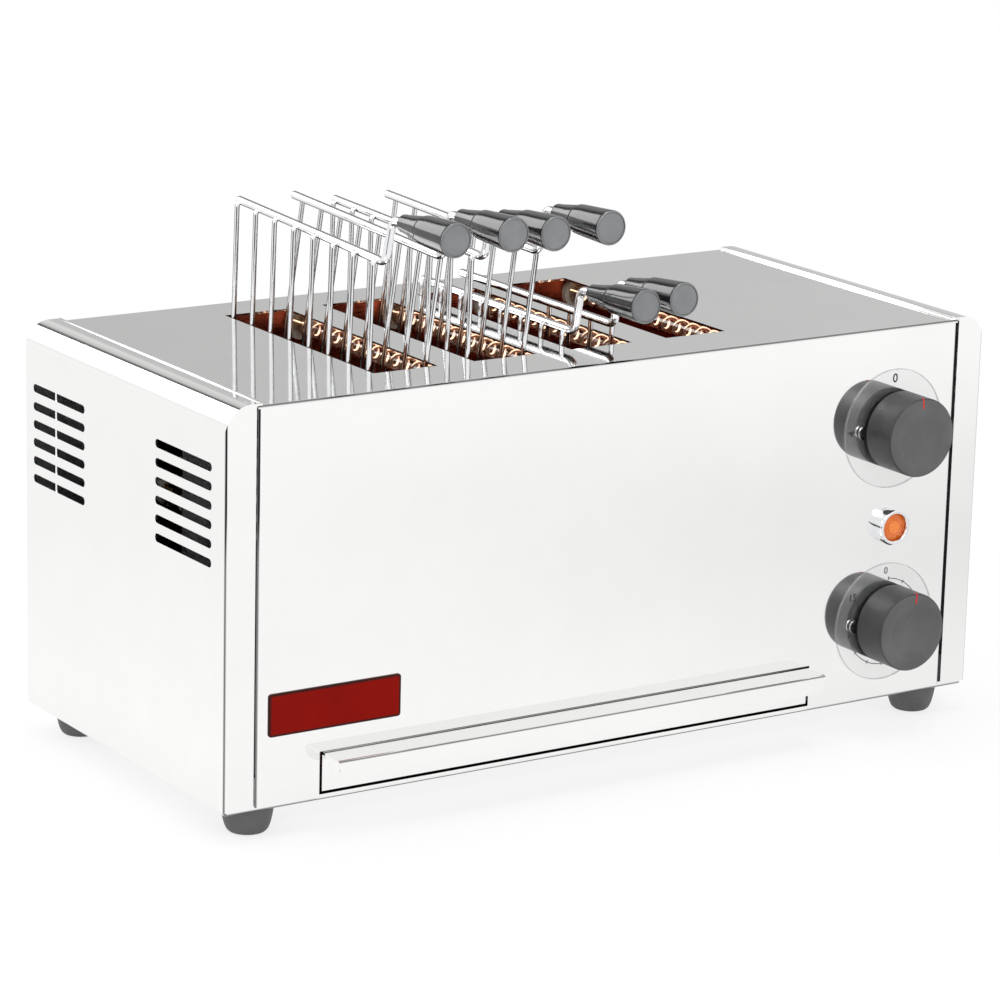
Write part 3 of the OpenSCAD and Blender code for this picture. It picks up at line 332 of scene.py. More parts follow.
handle_phenolic = moulded("phenolic_polished_handle", ("#1C1D1F", "#232426"), 0.13, 0.6, 0.004, IOR=1.6)
face_phenolic = moulded("phenolic_ground_face", ("#78797B", "#828385"), 0.5, 0.5, 0.02, IOR=1.6)
rim_phenolic = moulded("phenolic_ground_rim", ("#6E6F71", "#77787A"), 0.3, 0.5, 0.01, IOR=1.6)
knob_abs = moulded("abs_spark_eroded_knob", ("#1F1F20", "#373738"), 0.38, 0.8, 0.14, IOR=1.54)
# Painted light: the knob's face is a lighter copy of its side's plastic.
knob_face_painted_light = moulded("abs_spark_eroded_face_painted_light", ("#4C4C4D", "#5A5A5B"), 0.36, 0.8, 0.07, IOR=1.54)
foot_rubber = moulded("nitrile_rubber_moulded", ("#565656", "#646464"), 0.6, 0.8, 0.03, IOR=1.52)
black_nylon = moulded("nylon_moulded_black", ("#1E1E1F", "#29292A"), 0.45, 0.8, 0.03, IOR=1.53)
pale_nylon = moulded("nylon_moulded_natural", ("#DAD7CC", "#E4E1D8"), 0.4, 0.8, 0.03, IOR=1.53)
steatite = moulded("steatite_ceramic_pressed", ("#DAD4C6", "#E8E3D8"), 0.55, 0.5, 0.03, IOR=1.58)
silicone = moulded("silicone_sleeve_extruded", ("#6E4630", "#7E533A"), 0.5, 0.7, 0.02, IOR=1.41)
red_enamel = moulded("stoved_enamel_red", ("#7E0A02", "#880D04"), 0.4, 1.6, 0.006,
                     IOR=1.5, Specular_IOR_Level=0.05)
dark_enamel = moulded("stoved_enamel_dark_border", ("#320805", "#3C0B06"), 0.35, 1.6, 0.006,
                      IOR=1.5, Specular_IOR_Level=0.15)
red_ink = moulded("pointer_paint_red", ("#C8241C", "#D02C22"), 0.4, 0.5, 0.01, IOR=1.5)
black_ink = moulded("screen_ink_black", ("#050505", "#0C0C0C"), 0.5, 0.4, 0.005, IOR=1.5)
grey_ink = moulded("screen_ink_grey", ("#77787A", "#808183"), 0.5, 0.4, 0.005, IOR=1.5)
# Painted shade for the knobs' hollow and foot ring.
knob_painted_shade = moulded("abs_moulded_painted_shade", ("#0C0C0D", "#121213"), 0.6, 0.8, 0.03,
                      IOR=1.54, Specular_IOR_Level=0.06)
joint_shade_finish = moulded("foam_strip_painted_shade", ("#333334", "#3D3D3E"), 0.85, 0.6, 0.06, IOR=1.52)
print("moulded finishes made")

# %% [markdown]
# ## Quartz, acrylic and the hot wire
#
# The heater is a spring of resistance wire in a tube of drawn quartz glass. The wire has a copper-brown
# oxide skin. The pale cream on the upper side of each turn, as the photograph shows it, is a painted
# highlight, and it glows. The whole wire also has a faint painted glow, which gives the chamber its warm
# colour.

# %% Glass and glow


def glass(name, tint, index, gloss):
    made, tree, shader = surface(name, {
        "Base Color": linear(tint), "Roughness": gloss, "IOR": index, "Transmission Weight": 1})
    plug(tree, shader, {"Normal": relief(tree, grain(tree, 1.5, (1, 40, 1)), 0.004)})
    return made


def hot_wire(name, below, painted_highlight_tints, painted_highlight_glow, faint):
    """A painted highlight and glow: cream and glowing where it looks up, brown and nearly dark where it looks
    down.
    """
    made, tree, shader = surface(name, {
        "Metallic": 1, "Roughness": 0.22, "Emission Color": linear("#FFD9BC")})
    skin_noise = grain(tree, 2.5, detail=4)
    # Painted highlight: this mask turns upward faces cream and makes them glow.
    upper = between(tree, add(tree, "SeparateXYZ", {0: facing(tree)}).outputs["Z"], 0, 1, 0.25, 0.6)
    plug(tree, shader, {
        "Base Color": mixed(tree, upper, linear(below), between(tree, skin_noise, *painted_highlight_tints)),
        "Emission Strength": reckon(tree, "MULTIPLY_ADD", upper, painted_highlight_glow, faint),
        "Normal": relief(tree, skin_noise, 0.01)})
    return made


quartz = glass("quartz_glass_drawn", "#FBEFE6", 1.458, 0.02)
# Painted glow: 2.2 on the upper side as a painted highlight, 0.08 over the whole wire.
wire_metal = hot_wire("resistance_wire_oxidised", "#8A4A36", ("#FFE3CC", "#FFF2E4"), 2.2, 0.08)
print("glass and hot wire:", quartz.name, wire_metal.name)

# %% [markdown]
# The dials are 0.8 mm of cast acrylic flat on a mirror. Glass that thin barely bends light, so the disc
# is made mostly see-through by its alpha, with a faint grey veil of its own, and only its polished edge
# is denser. The lens of the lamp is amber polycarbonate, half clear and faintly lit from behind.

# %% Acrylic and amber


def clear(name, tint, veil, gloss, grain_mm):
    made, tree, shader = surface(name, {"IOR": 1.491, "Alpha": veil})
    haze = grain(tree, grain_mm, detail=2)
    plug(tree, shader, {
        "Base Color": between(tree, haze, *tint),
        "Roughness": between(tree, haze, gloss * 0.8, gloss * 1.2),
        "Normal": relief(tree, haze, 0.002)})
    return made


def lit_amber(name, tint, glow):
    made, tree, shader = surface(name, {"IOR": 1.586, "Transmission Weight": 0.35,
                                        "Emission Color": linear("#FF7A14"), "Emission Strength": glow})
    cloud = grain(tree, 2, detail=2)
    plug(tree, shader, {
        "Base Color": between(tree, cloud, *tint),
        "Roughness": between(tree, cloud, 0.08, 0.12)})
    return made


acrylic = clear("acrylic_clear_disc", ("#D9DADB", "#E2E3E4"), 0.05, 0.03, 12)
acrylic_edge = clear("acrylic_polished_edge", ("#A4A6A8", "#B0B1B3"), 0.4, 0.06, 6)
amber = lit_amber("polycarbonate_amber", ("#EE7216", "#F68222"), 0.08)
amber_core = lit_amber("polycarbonate_amber_window", ("#F58A30", "#FA9A40"), 0.18)
print("clear plastics:", acrylic.name, acrylic_edge.name, amber.name, amber_core.name)

# %% [markdown]
# ## Finishes for the solids that stay
#
# A solid whose shape is already right keeps it and only takes a finish in place of its flat colour.

# %% Dress the solids
FINISHES = {
    casing_steel: "left_end_cap right_end_cap front_panel back_panel",
    top_steel: "top_panel",
    tray_steel: "crumb_tray_front base_pan",
    inner_steel: "crumb_tray_pan tray_rails tong_rest_bars",
    galvanised: "chamber_left_wall",
    heat_tint_and_glow_steel: "chamber_front_plate chamber_rear_plate chamber_right_wall",
    zinc: "back_panel_screws foot_screws rail_screws small_nuts control_screws selector_shaft timer_shaft",
    steatite: "ceramic_end_caps",
    brass: "terminal_studs bus_bars spade_terminals",
    black_nylon: "selector_switch cable_gland gland_nut pilot_nut",
    cast_metal: "timer_body",
    pale_nylon: "pilot_body terminal_block",
    silicone: "wiring",
}
dressed = set()
for finish, names in FINISHES.items():
    for name in names.split():
        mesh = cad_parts[name].data
        mesh.materials.clear()
        mesh.materials.append(finish)
        dressed.add(name)
print("dressed", len(dressed), "left to model", sorted(set(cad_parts) - dressed))

# %% [markdown]
# No cut or pressed edge is truly sharp. A bevel that acts only on edges steeper than 35 degrees gives
# each one a rounding of a few tenths of a millimetre, which catches a line of light. It is a modifier, so
# the solid itself stays as it is. On the steel sheets the bevel takes a finish of its own: a sheared edge
# is never polished, so it draws the fine grey outline that every sheet-metal product has.

# %% Round the edges of the solids
SHEET_EDGES = {0.4: "left_end_cap right_end_cap crumb_tray_front", 0.3: "top_panel front_panel back_panel"}
PART_EDGES = {
    0.25: "ceramic_end_caps selector_switch timer_body pilot_body terminal_block cable_gland gland_nut"}


def round_edges(name, width_mm, edge_finish=None):
    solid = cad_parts[name]
    bevel = solid.modifiers.new("edge_rounding", "BEVEL")
    bevel.width, bevel.segments, bevel.harden_normals = width_mm / 1000, 2, True
    bevel.limit_method, bevel.angle_limit = "ANGLE", math.radians(35)
    if edge_finish:
        solid.data.materials.append(edge_finish)
        bevel.material = 1
    print(name, "edges rounded by", width_mm, "mm")


for edges, edge_finish in ((SHEET_EDGES, edge_steel), (PART_EDGES, None)):
    for width_mm, names in edges.items():
        for name in names.split():
            round_edges(name, width_mm, edge_finish)

# %% [markdown]
# ## Drawing in millimetres
#
# Each piece below is drawn in millimetres in its own simple position and then put in place by a matrix.
# A turned piece is drawn along Z, so it needs one more matrix that points its Z axis at the front or the
# back of the toaster.

# %% Places


def at(x=0, y=0, z=0):
    return Matrix.Translation(corner) @ Matrix.Scale(0.001, 4) @ Matrix.Translation((x, y, z))


def turn(degrees, axis):
    return Matrix.Rotation(math.radians(degrees), 4, axis)


FRONT, BACK = turn(90, "X"), turn(-90, "X")
print("FRONT sends +Z to", [round(v) for v in FRONT @ Vector((0, 0, 1))])

# %% [markdown]
# ## Three ways to make a form
#
# Nearly everything on this object is either turned on a lathe or bent from wire. Both come down to the
# same act: rings of points are laid one after another and a skin is drawn over them. A turned piece has
# round rings along its axis, and a bent wire has rings across its route. A ring is carried along the
# route without twisting, and a corner of the route gets the bending tool's radius first. Many pieces
# have the same rounding at both ends, so one helper writes such a profile from a single end.

# %% Skins, turned pieces and bent wire


def skin(form, rings, marks=0, closed=False):
    """Faces over rings of points, with a cap on both ends or, if closed, from the last ring to the first.

    marks is the finish of everything, or a list with that of each strip and then of the last cap.
    """
    rows = [[form.verts.new(point) for point in ring] for ring in rings]
    pairs = list(zip(rows, rows[1:])) + ([(rows[-1], rows[0])] if closed else [])
    count = len(rows[0])
    strips = [marks] * (len(pairs) + 1) if isinstance(marks, int) else marks
    for (low, high), mark in zip(pairs, strips):
        for j in range(count):
            k = (j + 1) % count
            form.faces.new((low[j], low[k], high[k], high[j])).material_index = mark
    if not closed:
        form.faces.new(rows[0][::-1]).material_index = strips[0]
        form.faces.new(rows[-1]).material_index = strips[len(pairs)]


def turned(form, profile, place, sides=64, marks=0, closed=False):
    """A lathe: the profile is radius and height, from one end to the other."""
    angles = [2 * math.pi * (j + 0.5) / sides for j in range(sides)]
    skin(form, [[place @ Vector((r * math.cos(a), r * math.sin(a), z)) for a in angles] for r, z in profile],
         marks, closed)


def two_ended(end, low, high):
    """A profile from low to high with the same end twice: end is radius and distance from the tip."""
    return [(r, low + h) for r, h in end] + [(r, high - h) for r, h in reversed(end)]


def bent(corners, radii, steps=6):
    """A route through corners, each inner one rounded to its radius."""
    points = [Vector(p) for p in corners]
    route = [points[0]]
    for a, p, b, radius in zip(points, points[1:], points[2:], radii):
        u, v = (a - p).normalized(), (b - p).normalized()
        half = u.angle(v) / 2
        middle = p + (u + v).normalized() * radius / math.sin(half)
        first, last = p + u * radius / math.tan(half) - middle, p + v * radius / math.tan(half) - middle
        spin = [Matrix.Rotation(first.angle(last) * i / steps, 3, first.cross(last)) for i in range(steps + 1)]
        route += [middle + bend @ first for bend in spin]
    return route + [points[-1]]


def swept(form, route, radius, place, sides=12, mark=0):
    """A bar along a route. radius is one number, or one for each point."""
    route = [Vector(p) for p in route]
    radii = radius if isinstance(radius, list) else [radius] * len(route)
    side, rings = None, []
    for i, (point, r) in enumerate(zip(route, radii)):
        way = (route[min(i + 1, len(route) - 1)] - route[max(i - 1, 0)]).normalized()
        side = way.orthogonal().normalized() if side is None else (side - way * side.dot(way)).normalized()
        across = way.cross(side)
        rings.append([place @ (point + r * (math.cos(a) * side + math.sin(a) * across))
                      for a in (2 * math.pi * j / sides for j in range(sides))])
    skin(form, rings, mark)


def piece(name, form, finishes, body, slot, *nodes, crease=35):
    """The finished object: smooth up to the crease angle, riding on its body in place of its solids."""
    bmesh.ops.recalc_face_normals(form, faces=form.faces)
    mesh = bpy.data.meshes.new(name)
    form.to_mesh(mesh)
    form.free()
    mesh.shade_smooth()
    mesh.set_sharp_from_angle(angle=math.radians(crease))
    for finish in finishes:
        mesh.materials.append(finish)
    made = bpy.data.objects.new(name, mesh)
    bpy.context.scene.collection.objects.link(made)
    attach(made, body)
    if nodes:
        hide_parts(*nodes)
    print(name, len(mesh.polygons), "faces on", body)


# %% [markdown]
# ## The tongs
#
# A tong is two grids of wire on one hinge pin. Eight upright wires are welded to a bar at the foot, and
# their upper ends are bent in to a rod that lies over the slot. The rod runs forward, climbs, and carries
# the handle. The moving jaw opens as the tong is raised, so its angle follows from the lift.
#
# A jaw is drawn round its hinge pin: Y runs back along the pin and Z up the wires. The left and right jaw
# differ only in the side of the pin, the distance of the wires from it, and their height.

# %% Where the tongs stand
SLOT_STEP, GRID, WIRES = 53.5, 123.2, 8
STEP = GRID / (WIRES - 1)
FIRST_X, HINGE_Y, LOWERED_Z, LIFTS = 101.6, 41, 58.5, (43.8, 41, 0)
HINGES = [(FIRST_X + SLOT_STEP * n, HINGE_Y, LOWERED_Z + lift) for n, lift in enumerate(LIFTS)]
LEANS, OPENINGS = (2.5, 1.8, 0), (6.3288, 6.116, 3)
JAWS = {"a": ("left", -1, 7.2, 132.5), "b": ("right", 1, 14, 134.5)}
WIRE, ROD, TO_ROD = 1.2, 2.0, 3.0
RISER_Y, RISE, RISER_LEAN, RISER_SPLAY, GRIP_TILT = 6.1, 20.3, 7, 3.1, 2.4
RISER = Vector((0, -RISE * math.tan(math.radians(RISER_LEAN)), RISE))
GRIP_WAY = Vector((0, -math.cos(math.radians(GRIP_TILT)), math.sin(math.radians(GRIP_TILT))))


def jaw_place(n, side):
    place = at(*HINGES[n]) @ turn(LEANS[n], "X")
    return place @ turn(OPENINGS[n], "Y") if side == "b" else place


def rod_place(n, side):
    """The corner where the rod turns up: Y runs back along the rod, Z up the leaning riser's plane."""
    _, s, foot, high = JAWS[side]
    rod_corner = Matrix.Translation((s * (foot - TO_ROD), -RISER_Y, high))
    return jaw_place(n, side) @ rod_corner @ turn(-RISER_SPLAY * s, "Y")


print("hinge pins at", HINGES)

# %% [markdown]
# A wire is swept rather than stacked from cylinders, so that its bends are real bends and the light runs
# through them. It gets wider where it meets the bar and the rod, as a weld does. Three eyes join the foot
# to the pin. The two jaws' eyes stand side by side on it, a little forward on one jaw and back on the other.

# %% Jaws
FOOT_WELD, ROD_WELD, WELD_STEPS, WIRE_LOW = [1.75, 1.6], [1.45, 1.7], (0, 1.2, 2.6), 20
BAR_END, BAR_OVER = [(0.75, 0), (1.05, 0.2), (WIRE, 0.6)], 1.2
EYES, EYE_SHIFT, EYE_END = (1.5, 3.5, 5.5), 1.4, [(2.05, 0), (3.1, 0), (3.45, 0.2), (3.6, 0.6)]
EYE_HALF, EYE_ARM = 1.2, 3.4
ROD_TIP, TIP_STEPS, ROD_TAIL, GRIP_REACH = [1.3, 1.8], (0, 0.2, 0.7), 4, 22
WIRE_BEND, ROD_BENDS = 2.6, [5, 5]


def make_jaw(n, side):
    word, s, foot, high = JAWS[side]
    place = jaw_place(n, side)
    form = bmesh.new()
    for y in (k * STEP for k in range(WIRES)):
        route = [(s * foot, y, z) for z in WELD_STEPS] + bent(
            [(s * foot, y, WIRE_LOW), (s * foot, y, high), (s * (foot - TO_ROD), y, high)], [WIRE_BEND])
        swept(form, route, FOOT_WELD + [WIRE] * (len(route) - 4) + ROD_WELD, place)
    bar = two_ended(BAR_END, -BAR_OVER, GRID + BAR_OVER)
    swept(form, [(s * foot, y, 0) for _, y in bar], [r for r, _ in bar], place, 12, 1)
    for y in (eye * STEP + EYE_SHIFT * s for eye in EYES):
        turned(form, two_ended(EYE_END, -EYE_HALF, EYE_HALF),
               place @ Matrix.Translation((0, y, 0)) @ BACK, 32, closed=True)
        swept(form, [(s * foot, y, 0), (s * EYE_ARM, y, 0)], WIRE, place)
    back = RISER_Y + GRID + ROD_TAIL
    route = [(0, back - step, 0) for step in TIP_STEPS] + bent(
        [(0, back - 2, 0), (0, 0, 0), RISER, RISER + GRIP_WAY * GRIP_REACH], ROD_BENDS, 8)
    swept(form, route, ROD_TIP + [ROD] * (len(route) - 2), rod_place(n, side), 20, 1)
    piece(f"wire_jaw_{n + 1}_{word}", form, [upright, rail], f"tong_{n + 1}_{word}_jaw", "chromed_wire",
          f"tong_{n + 1}_jaw_{side}", crease=50)


for n in range(3):
    for side in "ab":
        make_jaw(n, side)

# %% [markdown]
# The pin is a plain rod with a riveted head at both ends. Turned in one go, its heads get the small
# roundings that the rivet tool leaves.

# %% Hinge pins
PIN_HEAD, PIN_OVER = [(1.6, -1), (2.5, -1), (2.8, -0.7), (2.8, -0.2), (2.6, 0), (2, 0.1)], 4

for n in range(3):
    form = bmesh.new()
    turned(form, two_ended(PIN_HEAD, EYES[0] * STEP - PIN_OVER, EYES[-1] * STEP + PIN_OVER),
           at(*HINGES[n]) @ turn(LEANS[n], "X") @ BACK, 32)
    piece(f"riveted_pin_{n + 1}", form, [chromium], f"tong_{n + 1}_pin", "chromed_wire",
          f"tong_{n + 1}_hinge_pin")

# %% [markdown]
# ## The handles
#
# The handles are moulded from phenolic resin and polished: a slim neck that widens to a shoulder, then a
# barrel with a slight taper, and a face that was ground flat, so it is paler and dull. A profile on the
# lathe gives all of it, with a rounding wherever the real mould has one.

# %% Handles
NECK = [(2.1, 0.4), (2.7, 0), (3.3, 0.1), (3.8, 0.45), (4.1, 0.95), (4.2, 1.6), (4.35, 4), (5.6, 13),
        (6.2, 17.4)]
SHOULDER = [(6.25, 17.9), (6.1, 18.2), (6.15, 18.5), (6.6, 18.75), (6.85, 19.2), (6.95, 19.9)]
BARREL = [(7.2, 25), (7.8, 38), (8, 42.5), (8, 42.9)]
RIM = [(7.9, 43.3), (7.65, 43.7), (7.3, 43.95), (7.1, 44), (6.95, 43.9), (6.85, 43.6)]
RIM_MARKS = [2, 2, 2, 2, 0, 1]
HANDLE_GAP = 9


def make_handle(n, side):
    word = JAWS[side][0]
    along_grip = turn(90 - GRIP_TILT, "X") @ Matrix.Translation((0, 0, HANDLE_GAP))
    plain = NECK + SHOULDER + BARREL
    form = bmesh.new()
    turned(form, plain + RIM, rod_place(n, side) @ Matrix.Translation(RISER) @ along_grip, 64,
           [0] * len(plain) + RIM_MARKS)
    piece(f"turned_handle_{n + 1}_{word}", form, [handle_phenolic, face_phenolic, rim_phenolic],
          f"tong_{n + 1}_{word}_jaw", "black_handle", f"tong_{n + 1}_handle_{side}", crease=40)


for n in range(3):
    for side in "ab":
        make_handle(n, side)

# %% [markdown]
# ## Heaters
#
# Each heater is a length of drawn quartz tube with a spring of resistance wire inside. The wire runs in
# straight from the ceramic end, winds, and runs out straight again. The upper row is what one sees
# through the slots, so its wire gets more points per turn than the lower row.

# %% Tubes and coils
TUBES = [83.05 + SLOT_STEP * i for i in range(5)]
ROWS = {"upper": (175, 24), "lower": (90, 14)}
START, END, PLAY, TUBE_END = 19.0, 178.0, 0.3, [(4.5, 0), (5.1, 0), (5.25, 0.2)]
LEAD, CURLS, COIL, COIL_WIRE = 12, 15, 3.3, 0.75


def coil_route(steps):
    pitch = (END - START - 2 * LEAD) / CURLS
    points = [(0, START + PLAY, 0), (0.4, START + LEAD - 3, 0), (COIL * 0.6, START + LEAD - 1, -0.3)]
    for k in range(steps * CURLS + 1):
        a = 2 * math.pi * k / steps
        points.append((COIL * math.cos(a), START + LEAD + pitch * k / steps, COIL * math.sin(a)))
    return points + [(COIL * 0.6, END - LEAD + 1, 0.3), (0.4, END - LEAD + 3, 0), (0, END - PLAY, 0)]


for row, (z, steps) in ROWS.items():
    form = bmesh.new()
    for x in TUBES:
        turned(form, two_ended(TUBE_END, START + PLAY, END - PLAY), at(x, 0, z) @ BACK, 40, closed=True)
    piece(f"quartz_tubes_{row}", form, [quartz], "chassis", "quartz", f"{row}_quartz_tubes")
    form = bmesh.new()
    for x in TUBES:
        swept(form, coil_route(steps), COIL_WIRE, at(x, 0, z), 8)
    piece(f"wound_coils_{row}", form, [wire_metal], "chassis", "heating_wire", f"{row}_heater_coils", crease=80)

# %% [markdown]
# ## Knobs
#
# The knobs are deep round caps with a shallow dish in the face and a red line at the edge that points at
# the dial. One profile goes from the hollow back over the foot ring and the side to the dish. The line is
# a ribbon of paint that follows the same profile, a hair above it.

# %% Knobs
CONTROL_X, SELECTOR_Z, PILOT_Z, TIMER_Z = 367.2, 134.2, 86.0, 37.6
KNOB_GAP = 2.1
HOLLOW = [(3.1, 0), (6, 0), (6, 12), (17.05, 12), (17.05, 0.3)]
FOOT_RING = [(17.3, 0), (18.95, 0), (19.25, 0.3)]
SIDE = [(19.26, 2.2), (19.25, 19.3), (19.17, 19.68), (18.96, 20.01)]
DISH_R, DISH_RIM, DISH_DEPTH = 13.25, 20.22, 1.12
FACE = [(18.63, 20.22), (18.25, 20.3), (DISH_R, 20.3)] + [
    (DISH_R * q, DISH_RIM - DISH_DEPTH * (1 - q * q)) for q in (0.99, 0.9, 0.78, 0.65, 0.5, 0.35, 0.2, 0.05)]
POINTER = [(19.35, 18.6), (19.37, 19.3), (19.26, 19.74), (19.02, 20.1), (18.67, 20.34), (18.25, 20.42),
           (14.4, 20.42)]
POINTER_SECTION = [(-0.4, 0), (0.4, 0), (0.4, 0.3), (-0.4, 0.3)]


def make_knob(name, z, degrees, body):
    place = at(CONTROL_X, -KNOB_GAP, z) @ FRONT @ turn(-degrees, "Z")
    form = bmesh.new()
    # Mark 3 is painted shade on the hollow and foot ring, mark 1 painted light on the face.
    dark = HOLLOW + FOOT_RING
    turned(form, dark + SIDE + FACE, place, 96, [3] * len(dark) + [0] * len(SIDE) + [1] * len(FACE))
    skin(form, [[place @ Vector((x, r - sunk, h - sunk)) for x, sunk in POINTER_SECTION]
                for r, h in POINTER], 2)
    piece(name, form, [knob_abs, knob_face_painted_light, red_ink, knob_painted_shade], body, "black_knob", f"{body}_knob",
          crease=40)


make_knob("dished_knob_selector", SELECTOR_Z, 0, "selector")
make_knob("dished_knob_timer", TIMER_Z, 6, "timer")

# %% [markdown]
# ## Dials and figures
#
# The dials are thin clear discs screwed to the front. Their figures are plain numbers in black and grey
# ink, made from Blender's own font and turned into a mesh so that they ride along and export. The
# photograph shows the selector's 0 and 4 only, so 1, 2 and 3 go where the knob hides the dial from it.

# %% Print for the dials
FONT_HEIGHT, BOLDER = 0.7, 0.13
FIGURE_Z, FIGURE_HALF, TICK_Z, ARC_Z = -0.018, 0.004, (-0.026, -0.014), -0.02
BLACK, GREY = 2, 3


def figure(form, text, tall, place, mark):
    """Adds printed text to a form: the font's outline, tall millimetres high, as a thin layer of ink."""
    curve = bpy.data.curves.new("figure", "FONT")
    curve.body, curve.align_x, curve.align_y, curve.resolution_u = text, "CENTER", "CENTER", 4
    curve.size, curve.extrude, curve.offset = tall / FONT_HEIGHT, FIGURE_HALF, BOLDER
    ink = bpy.data.objects.new("figure", curve)
    bpy.context.scene.collection.objects.link(ink)
    mesh = bpy.data.meshes.new_from_object(ink.evaluated_get(bpy.context.evaluated_depsgraph_get()))
    spots = [form.verts.new(place @ v.co) for v in mesh.vertices]
    for face in mesh.polygons:
        form.faces.new([spots[i] for i in face.vertices]).material_index = mark
    bpy.data.objects.remove(ink)
    bpy.data.meshes.remove(mesh)
    bpy.data.curves.remove(curve)


def around(place, degrees, radius, upright=False):
    """A spot on a dial, clockwise from the top, its figure standing on the centre or upright."""
    outward = place @ turn(-degrees, "Z") @ Matrix.Translation((0, radius, FIGURE_Z))
    return outward @ turn(degrees if upright else 0, "Z")


def tick(form, place, degrees, inner, outer, half):
    ring = [(-half, inner), (half, inner), (half, outer), (-half, outer)]
    spin = place @ turn(-degrees, "Z")
    skin(form, [[spin @ Vector((x, y, h)) for x, y in ring] for h in TICK_Z], BLACK)


def arc(form, place, start, sweep, inner, outer, steps=60):
    for k in range(steps):
        a, b = (math.radians(start + sweep * j / steps) for j in (k, k + 1))
        quad = [(inner, a), (inner, b), (outer, b), (outer, a)]
        form.faces.new([form.verts.new(place @ Vector((r * math.sin(t), r * math.cos(t), ARC_Z)))
                        for r, t in quad]).material_index = BLACK


# %% [markdown]
# The disc is clear on its two faces and denser on its edges. The selector has a figure for each of its five
# steps. The timer has a zero, a 15 and an arc with ticks, whose number is assumed.

# %% Dials
DIAL_GAP = 0.04
DISC = [(4.5, 0), (29.05, 0), (29.25, 0.15), (29.25, 0.61), (29.05, 0.76), (4.5, 0.76)]
DISC_MARKS = [0, 1, 1, 1, 0, 1]
SELECTOR_ANGLES = (0, 67.5, 101, 135, 270)
TICKS, FIRST_TICK, TICK_STEP = 13, 5, 25


def print_selector(form, place):
    for n, degrees in enumerate(SELECTOR_ANGLES):
        figure(form, str(n), 4.3, around(place, degrees, 24.6), BLACK)


def print_timer(form, place):
    figure(form, "0", 3.3, around(place, 0, 25.4), GREY)
    figure(form, "15", 3.6, around(place, 305.5, 24.2, True), BLACK)
    for k in range(TICKS):
        tick(form, place, FIRST_TICK + TICK_STEP * k, 20.6, 22.4, 0.25)
    arc(form, place, FIRST_TICK, TICK_STEP * (TICKS - 1), 21.3, 21.7)


for word, z, add_print in (("selector", SELECTOR_Z, print_selector), ("timer", TIMER_Z, print_timer)):
    place = at(CONTROL_X, -DIAL_GAP, z) @ FRONT
    form = bmesh.new()
    turned(form, DISC, place, 128, DISC_MARKS, closed=True)
    add_print(form, place)
    piece(f"printed_dial_{word}", form, [acrylic, acrylic_edge, black_ink, grey_ink], "chassis", "clear_dial",
          f"{word}_dial", crease=30)

# %% [markdown]
# ## The pilot lamp
#
# A chromed ring holds an amber plastic lens. The lens is cut in twelve facets, so it is turned with only
# twelve sides and keeps them sharp. The flat in its middle sits over the glowing lamp and looks paler.

# %% Bezel and lens
BEZEL = [(7.1, 0.02), (8.85, 0.02), (9, 0.15), (9, 4.6), (8.9, 5.1), (8.65, 5.55), (8.3, 5.85), (7.8, 5.98),
         (7.2, 5.9), (6.85, 5.6), (6.7, 5.1), (6.8, 4.7), (7.56, 4.6), (7.56, 1.0), (7.1, 1.0)]
LENS = [(7.45, -0.9), (7.45, 3.3), (7.3, 3.6), (3.4, 4.9), (3.2, 4.75), (0.6, 4.95)]
LENS_MARKS, LENS_PROUD, FACETS = [0, 0, 0, 0, 1, 1], 0.2, 12

form = bmesh.new()
turned(form, BEZEL, at(CONTROL_X, 0, PILOT_Z) @ FRONT, 96, closed=True)
piece("rounded_bezel", form, [chromium], "chassis", "chrome_bezel", "pilot_bezel")
form = bmesh.new()
turned(form, LENS, at(CONTROL_X, -LENS_PROUD, PILOT_Z) @ FRONT, FACETS, LENS_MARKS)
piece("faceted_lens", form, [amber, amber_core], "chassis", "amber_lens", "pilot_lens", crease=5)

# %% [markdown]
# ## The red plate
#
# A stamped plate, enamelled red, with a darker red on its rolled edge and a narrow band within it. It
# stays bare. Rings of a rounded rectangle, each set in a little more than the last, give its rolled edge
# and the border.

# %% Red plate
PLATE_X, PLATE_Z, PLATE_SIZE, PLATE_CORNER = 22.4, 32, (68.6, 20), 1.5
LAYERS = [(0, 0), (0, 0.5), (0.1, 0.7), (0.3, 0.8), (1.1, 0.8), (1.3, 0.77)]
LAYER_MARKS = [1, 1, 1, 1, 0, 0]


def rounded(width, height, radius, inset, steps=6):
    """The outline of a plate with round corners, set in from its edge."""
    r = max(radius - inset, 0.3)
    points = []
    for cx, cy, start in ((width - inset - r, height - inset - r, 0), (inset + r, height - inset - r, 90),
                          (inset + r, inset + r, 180), (width - inset - r, inset + r, 270)):
        points += [(cx + r * math.cos(math.radians(start + 90 * k / steps)),
                    cy + r * math.sin(math.radians(start + 90 * k / steps))) for k in range(steps + 1)]
    return points


form = bmesh.new()
place = at(PLATE_X, 0, PLATE_Z)
skin(form, [[place @ Vector((x, -out, z)) for x, z in rounded(*PLATE_SIZE, PLATE_CORNER, inset)]
            for inset, out in LAYERS], LAYER_MARKS)
piece("enamelled_plate", form, [red_enamel, dark_enamel], "chassis", "red_plate", "name_plate")

# %% [markdown]
# ## Feet
#
# The rubber feet narrow towards the floor and have a hollow below for the screw's head. Moulded rubber
# has no sharp edge, so the foot's shoulder and its lower rim are both rounded.

